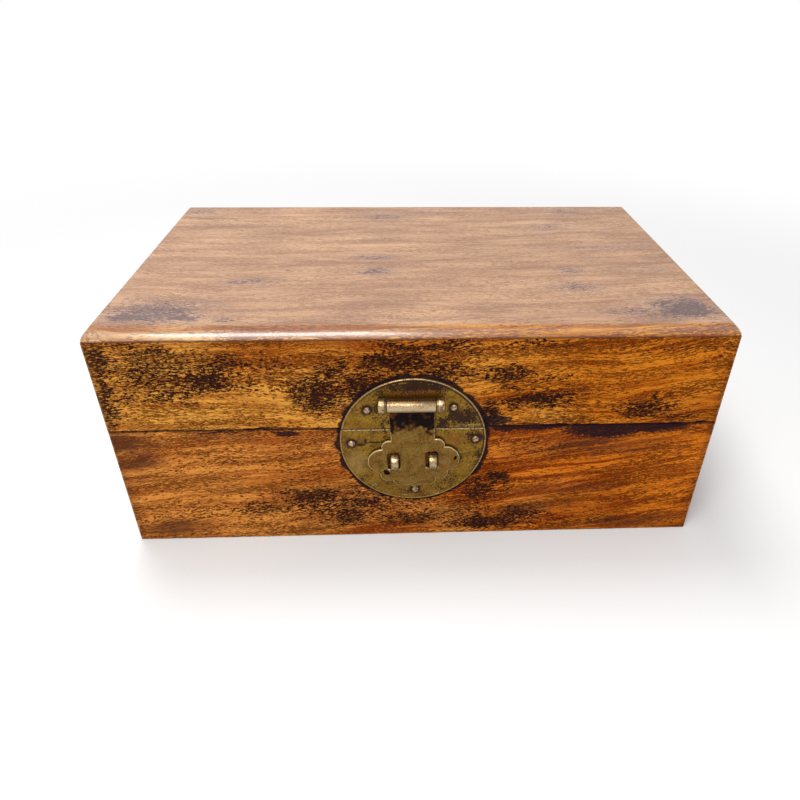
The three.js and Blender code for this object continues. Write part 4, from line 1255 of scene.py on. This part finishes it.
BRIGHT = rgb(0.40, 0.290, 0.155)
BRIGHT_DEEP = rgb(0.15, 0.082, 0.035)
BRIGHT_FILM_AND_SHADE = rgb(0.10, 0.048, 0.018)
GROOVE_FILM = rgb(0.12, 0.06, 0.03)


def bright_brass(name):
    """Brass rubbed bright by hands, dark in its grooves, darkened with film and painted shade along the
    staples' sides and under their bends, and with grime and painted shade where it goes into the plate.
    """
    paint = Paint(name)
    x, y, z = paint.x, paint.y, paint.z
    cloud = paint.cloud(2.6, 4.0, 0.6)
    fine = paint.cloud(0.7, 3.0)
    left, right = STAPLES_X
    beside = (x - left).size().least((x - right).size())
    # The staples are darker along their sides and under their bends: film and painted shade.
    under_bend = (z - STAPLE_Z + cloud.swing(3)).rise(-0.5, -3.6)
    staple_film_and_shade = under_bend.most(beside.rise(1.3, 2.3) * beside.rise(4.0, 3.0)) * (z - SEAM).rise(0.0, -2.0)
    # Darker where the brass goes into the plate: grime and painted shade.
    deep = (y + cloud.swing(5)).rise(PLATE_FRONT - 2.2, PLATE_FRONT - 0.4)
    away = paint.far(y - BARREL_Y, z - BARREL_Z)
    groove = away.rise(EYE_RADIUS - 0.12, EYE_RADIUS - 0.3) * away.rise(EYE_RADIUS + 1.2, EYE_RADIUS + 0.8)
    dull = score((0.8, cloud), (0.5, fine)).rise(-0.4, 1.4)
    color = paint.coats(BRIGHT, (BRIGHT_DEEP, dull), (BRIGHT_FILM_AND_SHADE, staple_film_and_shade * 0.75),
                        (BRASS_GRIME_AND_SHADE, deep * 0.9), (GROOVE_FILM, groove * 0.8))
    rough = 0.31 + cloud.swing(0.5) + deep * 0.3
    return paint.finish(color, rough, cloud * 0.5 + fine * 0.2, FINE_RELIEF, Metallic=0.93)


NAIL_BROWN = (rgb(0.31, 0.190, 0.110), rgb(0.10, 0.050, 0.028))
NAIL_CROWN_RUB_AND_SHINE = rgb(0.56, 0.40, 0.26)
HINGE_BROWN = rgb(0.20, 0.105, 0.032)


def domed_brass(name):
    """Nail heads: pinkish brown, with a lighter crown that is rubbed brass and a painted shine."""
    paint = Paint(name)
    cloud = paint.cloud(1.4, 4.0, 0.6)
    proud = paint.y.size() - abs(PLATE_FRONT)
    # The crown is lighter, rubbed brass with a painted shine; the foot of each dome is darker.
    color = paint.coats(
        NAIL_BROWN[0], (NAIL_BROWN[1], score((1.0, cloud)).rise(-0.8, 1.4)),
        (NAIL_CROWN_RUB_AND_SHINE, proud.rise(0.9, 1.8) * cloud.rise(0.6, 0.42) * 0.8),
        (BRASS_GRIME_AND_SHADE, proud.rise(0.7, 0.15) * paint.y.rise(0, -1) * 0.8))
    return paint.finish(color, 0.36 + cloud.swing(0.4), cloud, FINE_RELIEF, Metallic=0.8)


def hinge_brass(name):
    """The hinges: the same patina, dark at the knuckles."""
    paint = Paint(name)
    color, cloud, fine = patina(paint)
    deep = (paint.y + cloud.swing(4)).rise(BACK - 2.5, BACK - 5.0)
    blot = paint.noise(paint.x / 7, paint.z / 7, 2.0, 4.0, 0.6).rise(0.47, 0.6)
    color = paint.coats(color, (BRASS_GRIME_AND_SHADE, deep * 0.6), (HINGE_BROWN, 0.4), (BRASS_GRIME_AND_SHADE, blot * 0.75))
    rough = 0.42 + cloud.swing(0.5) + blot * 0.15
    return paint.finish(color, rough, cloud * 0.5 + fine * 0.25, LOW_RELIEF, Metallic=0.82)


WOODS = {
    "lid_front_board": front_wood(
        "lid_front", GOLD, AMBER, LID_LACQUER, None, LID_GRIME, LID_GOLD,
        seed=1.0, slope=0.06, turn=0.00034),
    "base_front_board": front_wood(
        "base_front", RED_GOLD, RED_BROWN, BASE_LACQUER, BASE_STAIN, BASE_GRIME, BASE_GOLD,
        seed=21.0, slope=0.125, turn=0.0002),
    "lid_top_panel": top_wood("top"),
    "base_bottom_panel": floor_wood("bottom"),
}
for order, side in enumerate(("right", "back", "left")):
    WOODS[f"lid_{side}_board"] = side_wood("lid_" + side, 31.0 + 9 * order, side, LID_SIDE, 1.0)
    WOODS[f"base_{side}_board"] = side_wood("base_" + side, 63.0 + 9 * order, side, BASE_SIDE, 0.9)
brass = plate_brass("plate_brass")
hasp_finish = hasp_brass("hasp_brass")
bright = bright_brass("bright_brass")
nail_brass = domed_brass("nail_brass")
back_brass = hinge_brass("hinge_brass")


# The dressed pieces

# Places where a board's edge at the seam is nicked: along the board, reach and depth
NICKS = {
    "base_front_board": ((-148.0, 3.0, 0.7), (-61.0, 5.0, 0.6), (101.0, 2.5, 0.5), (30.0, 2.0, 0.4)),
    "lid_front_board": ((171.5, 3.2, 1.9), (176.5, 2.0, 1.2), (-96.0, 7.0, 0.45), (120.0, 2.0, 0.4)),
    "base_left_board": ((60.0, 3.0, 0.8), (-70.0, 2.0, 0.6)),
    "base_right_board": ((-45.0, 4.0, 0.7), (88.0, 2.0, 0.5)),
    "lid_left_board": ((-20.0, 2.5, 0.7),),
    "lid_right_board": ((-104.0, 4.0, 1.3), (35.0, 3.0, 0.6)),
}
# The axis that each board faces along, and the sign of the way to its inside
SIDE_OF = {"front": (1, 1), "right": (0, -1), "back": (1, -1), "left": (0, 1)}
# Nails: the way they face, radius and height of the head, radius and length of the shank
HINGE_NAIL = (1, 2.0, 1.2, 0.75, 6.0)
PLATE_NAIL = (-1, 2.2, 1.5, 0.9, 7.0)
HINGE_BREAK = 0.16
BOTTOM_BREAK = 0.6

for order, node in enumerate(BODY_OF):
    if node.endswith("_board"):
        nicks = NICKS.get(node, ())
        piece(board_mesh(node, *SIDE_OF[node.split("_")[1]], 100 + 60 * order, nicks), node, WOODS[node])
    elif "nail" in node:
        sizes = HINGE_NAIL if node.startswith("hinge") else PLATE_NAIL
        piece(nail_mesh(node, order, *sizes), node, nail_brass)
    elif node.startswith("hinge"):
        piece(bevelled_mesh(node, HINGE_BREAK), node, bright if node.endswith("pin") else back_brass)

piece(top_mesh(), "lid_top_panel", WOODS["lid_top_panel"])
piece(bevelled_mesh("base_bottom_panel", BOTTOM_BREAK), "base_bottom_panel", WOODS["base_bottom_panel"])
piece(hasp_mesh(), "hasp", hasp_finish)
piece(pin_mesh(), "hasp_pin", bright)
for side, name in ((-1, "left"), (1, "right")):
    piece(eye_mesh("knuckle_eye_" + name, side), "knuckle_eye_" + name, bright)
    piece(staple_mesh("staple_" + name), "staple_" + name, bright)

upper_slots = [
    (middle_of(node)[0], TAIL_HALF_WIDE, BARREL_Z - TAIL_HALF_HIGH, BARREL_Z + TAIL_HALF_HIGH)
    for node in ("knuckle_eye_left", "knuckle_eye_right")]
legs = ((STAPLE_Z - STAPLE_RADIUS, STAPLE_Z - STAPLE_INNER),
        (STAPLE_Z + STAPLE_INNER, STAPLE_Z + STAPLE_RADIUS))
lower_slots = [(x, STAPLE_WIDTH / 2, *leg) for x in STAPLES_X for leg in legs]
for node, low, high, slots, nails in (
        ("lock_plate_upper", SEAM_HIGH, PLATE_Z + PLATE_RADIUS + THROUGH, upper_slots, PLATE_NAILS[:2]),
        ("lock_plate_lower", PLATE_Z - PLATE_RADIUS - THROUGH, SEAM_LOW, lower_slots, PLATE_NAILS[2:])):
    piece(plate_mesh(node, low, high, slots, nails), node, brass)


# Floor, light and camera

FLOOR_REACH = 6.0
FLOOR_GREY = rgb(0.66, 0.66, 0.66)
# Where the floor begins to fade, and where it is all white
FLOOR_FADE = (220, 1000)
WHITE = rgb(1.0, 1.0, 1.0)
WORLD_LIGHT = 0.5
WORLD_SEEN = 1.0


def seen_directly(tree):
    """1 where a ray comes from the camera, a reflection or something clear, and 0 where it only lights."""
    path = tree.node("ShaderNodeLightPath").outputs
    return Wire(tree, path["Is Camera Ray"]).most(path["Is Glossy Ray"]).most(path["Is Transmission Ray"])


def make_floor():
    """A pale floor that fades to the white of the background, but lights nothing with that white."""
    paint = Paint("floor")
    pale = paint.shader(FLOOR_GREY, 0.9, Specular_IOR_Level=0.1)
    white = paint.node("ShaderNodeEmission", Color=WHITE).outputs[0]
    shown = paint.far(paint.x, paint.y).rise(*FLOOR_FADE) * seen_directly(paint)
    mesh = bpy.data.meshes.new("floor")
    r = FLOOR_REACH
    mesh.from_pydata([(-r, -r, 0), (r, -r, 0), (r, r, 0), (-r, r, 0)], [], [(0, 1, 2, 3)])
    mesh.materials.append(paint.end(paint.wire("ShaderNodeMixShader", None, 0, shown, pale, white)))
    add("floor", mesh)


def make_world():
    """A white background, which lights the object with half its strength."""
    world = bpy.data.worlds.new("studio")
    bpy.context.scene.world = world
    world.use_nodes = True
    tree = Tree(world)
    back = world.node_tree.nodes["Background"]
    back.inputs["Color"].default_value = WHITE
    tree.feed(back.inputs["Strength"], seen_directly(tree) * (WORLD_SEEN - WORLD_LIGHT) + WORLD_LIGHT)


def lamp(name, place, aim, size, power):
    data = bpy.data.lights.new(name, "AREA")
    data.shape = "RECTANGLE"
    data.size, data.size_y = size
    data.energy = power
    made = add(name, data)
    made.location = place
    made.rotation_euler = (Vector(aim) - Vector(place)).to_track_quat("-Z", "Y").to_euler()


CAMERA_PLACE = (-10.83, -444.47, 306.52)
CAMERA_PITCH = 55.16
CAMERA_YAW = -3.055
CAMERA_ROLL = 0.805
CAMERA_LENS = 30.05
CAMERA_SHIFT = (-0.036, 0.04375)


def make_camera():
    data = bpy.data.cameras.new("camera")
    data.sensor_width = 36.0
    data.lens = CAMERA_LENS
    data.shift_x, data.shift_y = CAMERA_SHIFT
    data.clip_start = 0.01
    camera = add("camera", data)
    turn = (Matrix.Rotation(math.radians(CAMERA_YAW), 4, "Z")
            @ Matrix.Rotation(math.radians(CAMERA_PITCH), 4, "X")
            @ Matrix.Rotation(math.radians(CAMERA_ROLL), 4, "Z"))
    camera.matrix_world = Matrix.Translation(Vector(CAMERA_PLACE) * MM) @ turn
    bpy.context.scene.camera = camera


make_floor()
make_world()
# Name, place, aim and size in metres, and power in watts
for lamp_values in (
        ("key", (-0.28, -0.85, 1.2), (0, 0, 0.08), (0.8, 0.7), 15.5),
        ("top_light", (-0.24, -0.2, 1.35), (-0.24, -0.12, 0.14), (0.6, 0.5), 3.0),
        ("back_light", (-0.3, 0.4, 1.35), (-0.24, -0.12, 0.14), (0.62, 0.62), 13.0)):
    lamp(*lamp_values)
make_camera()
bpy.context.scene.view_settings.view_transform = "Standard"
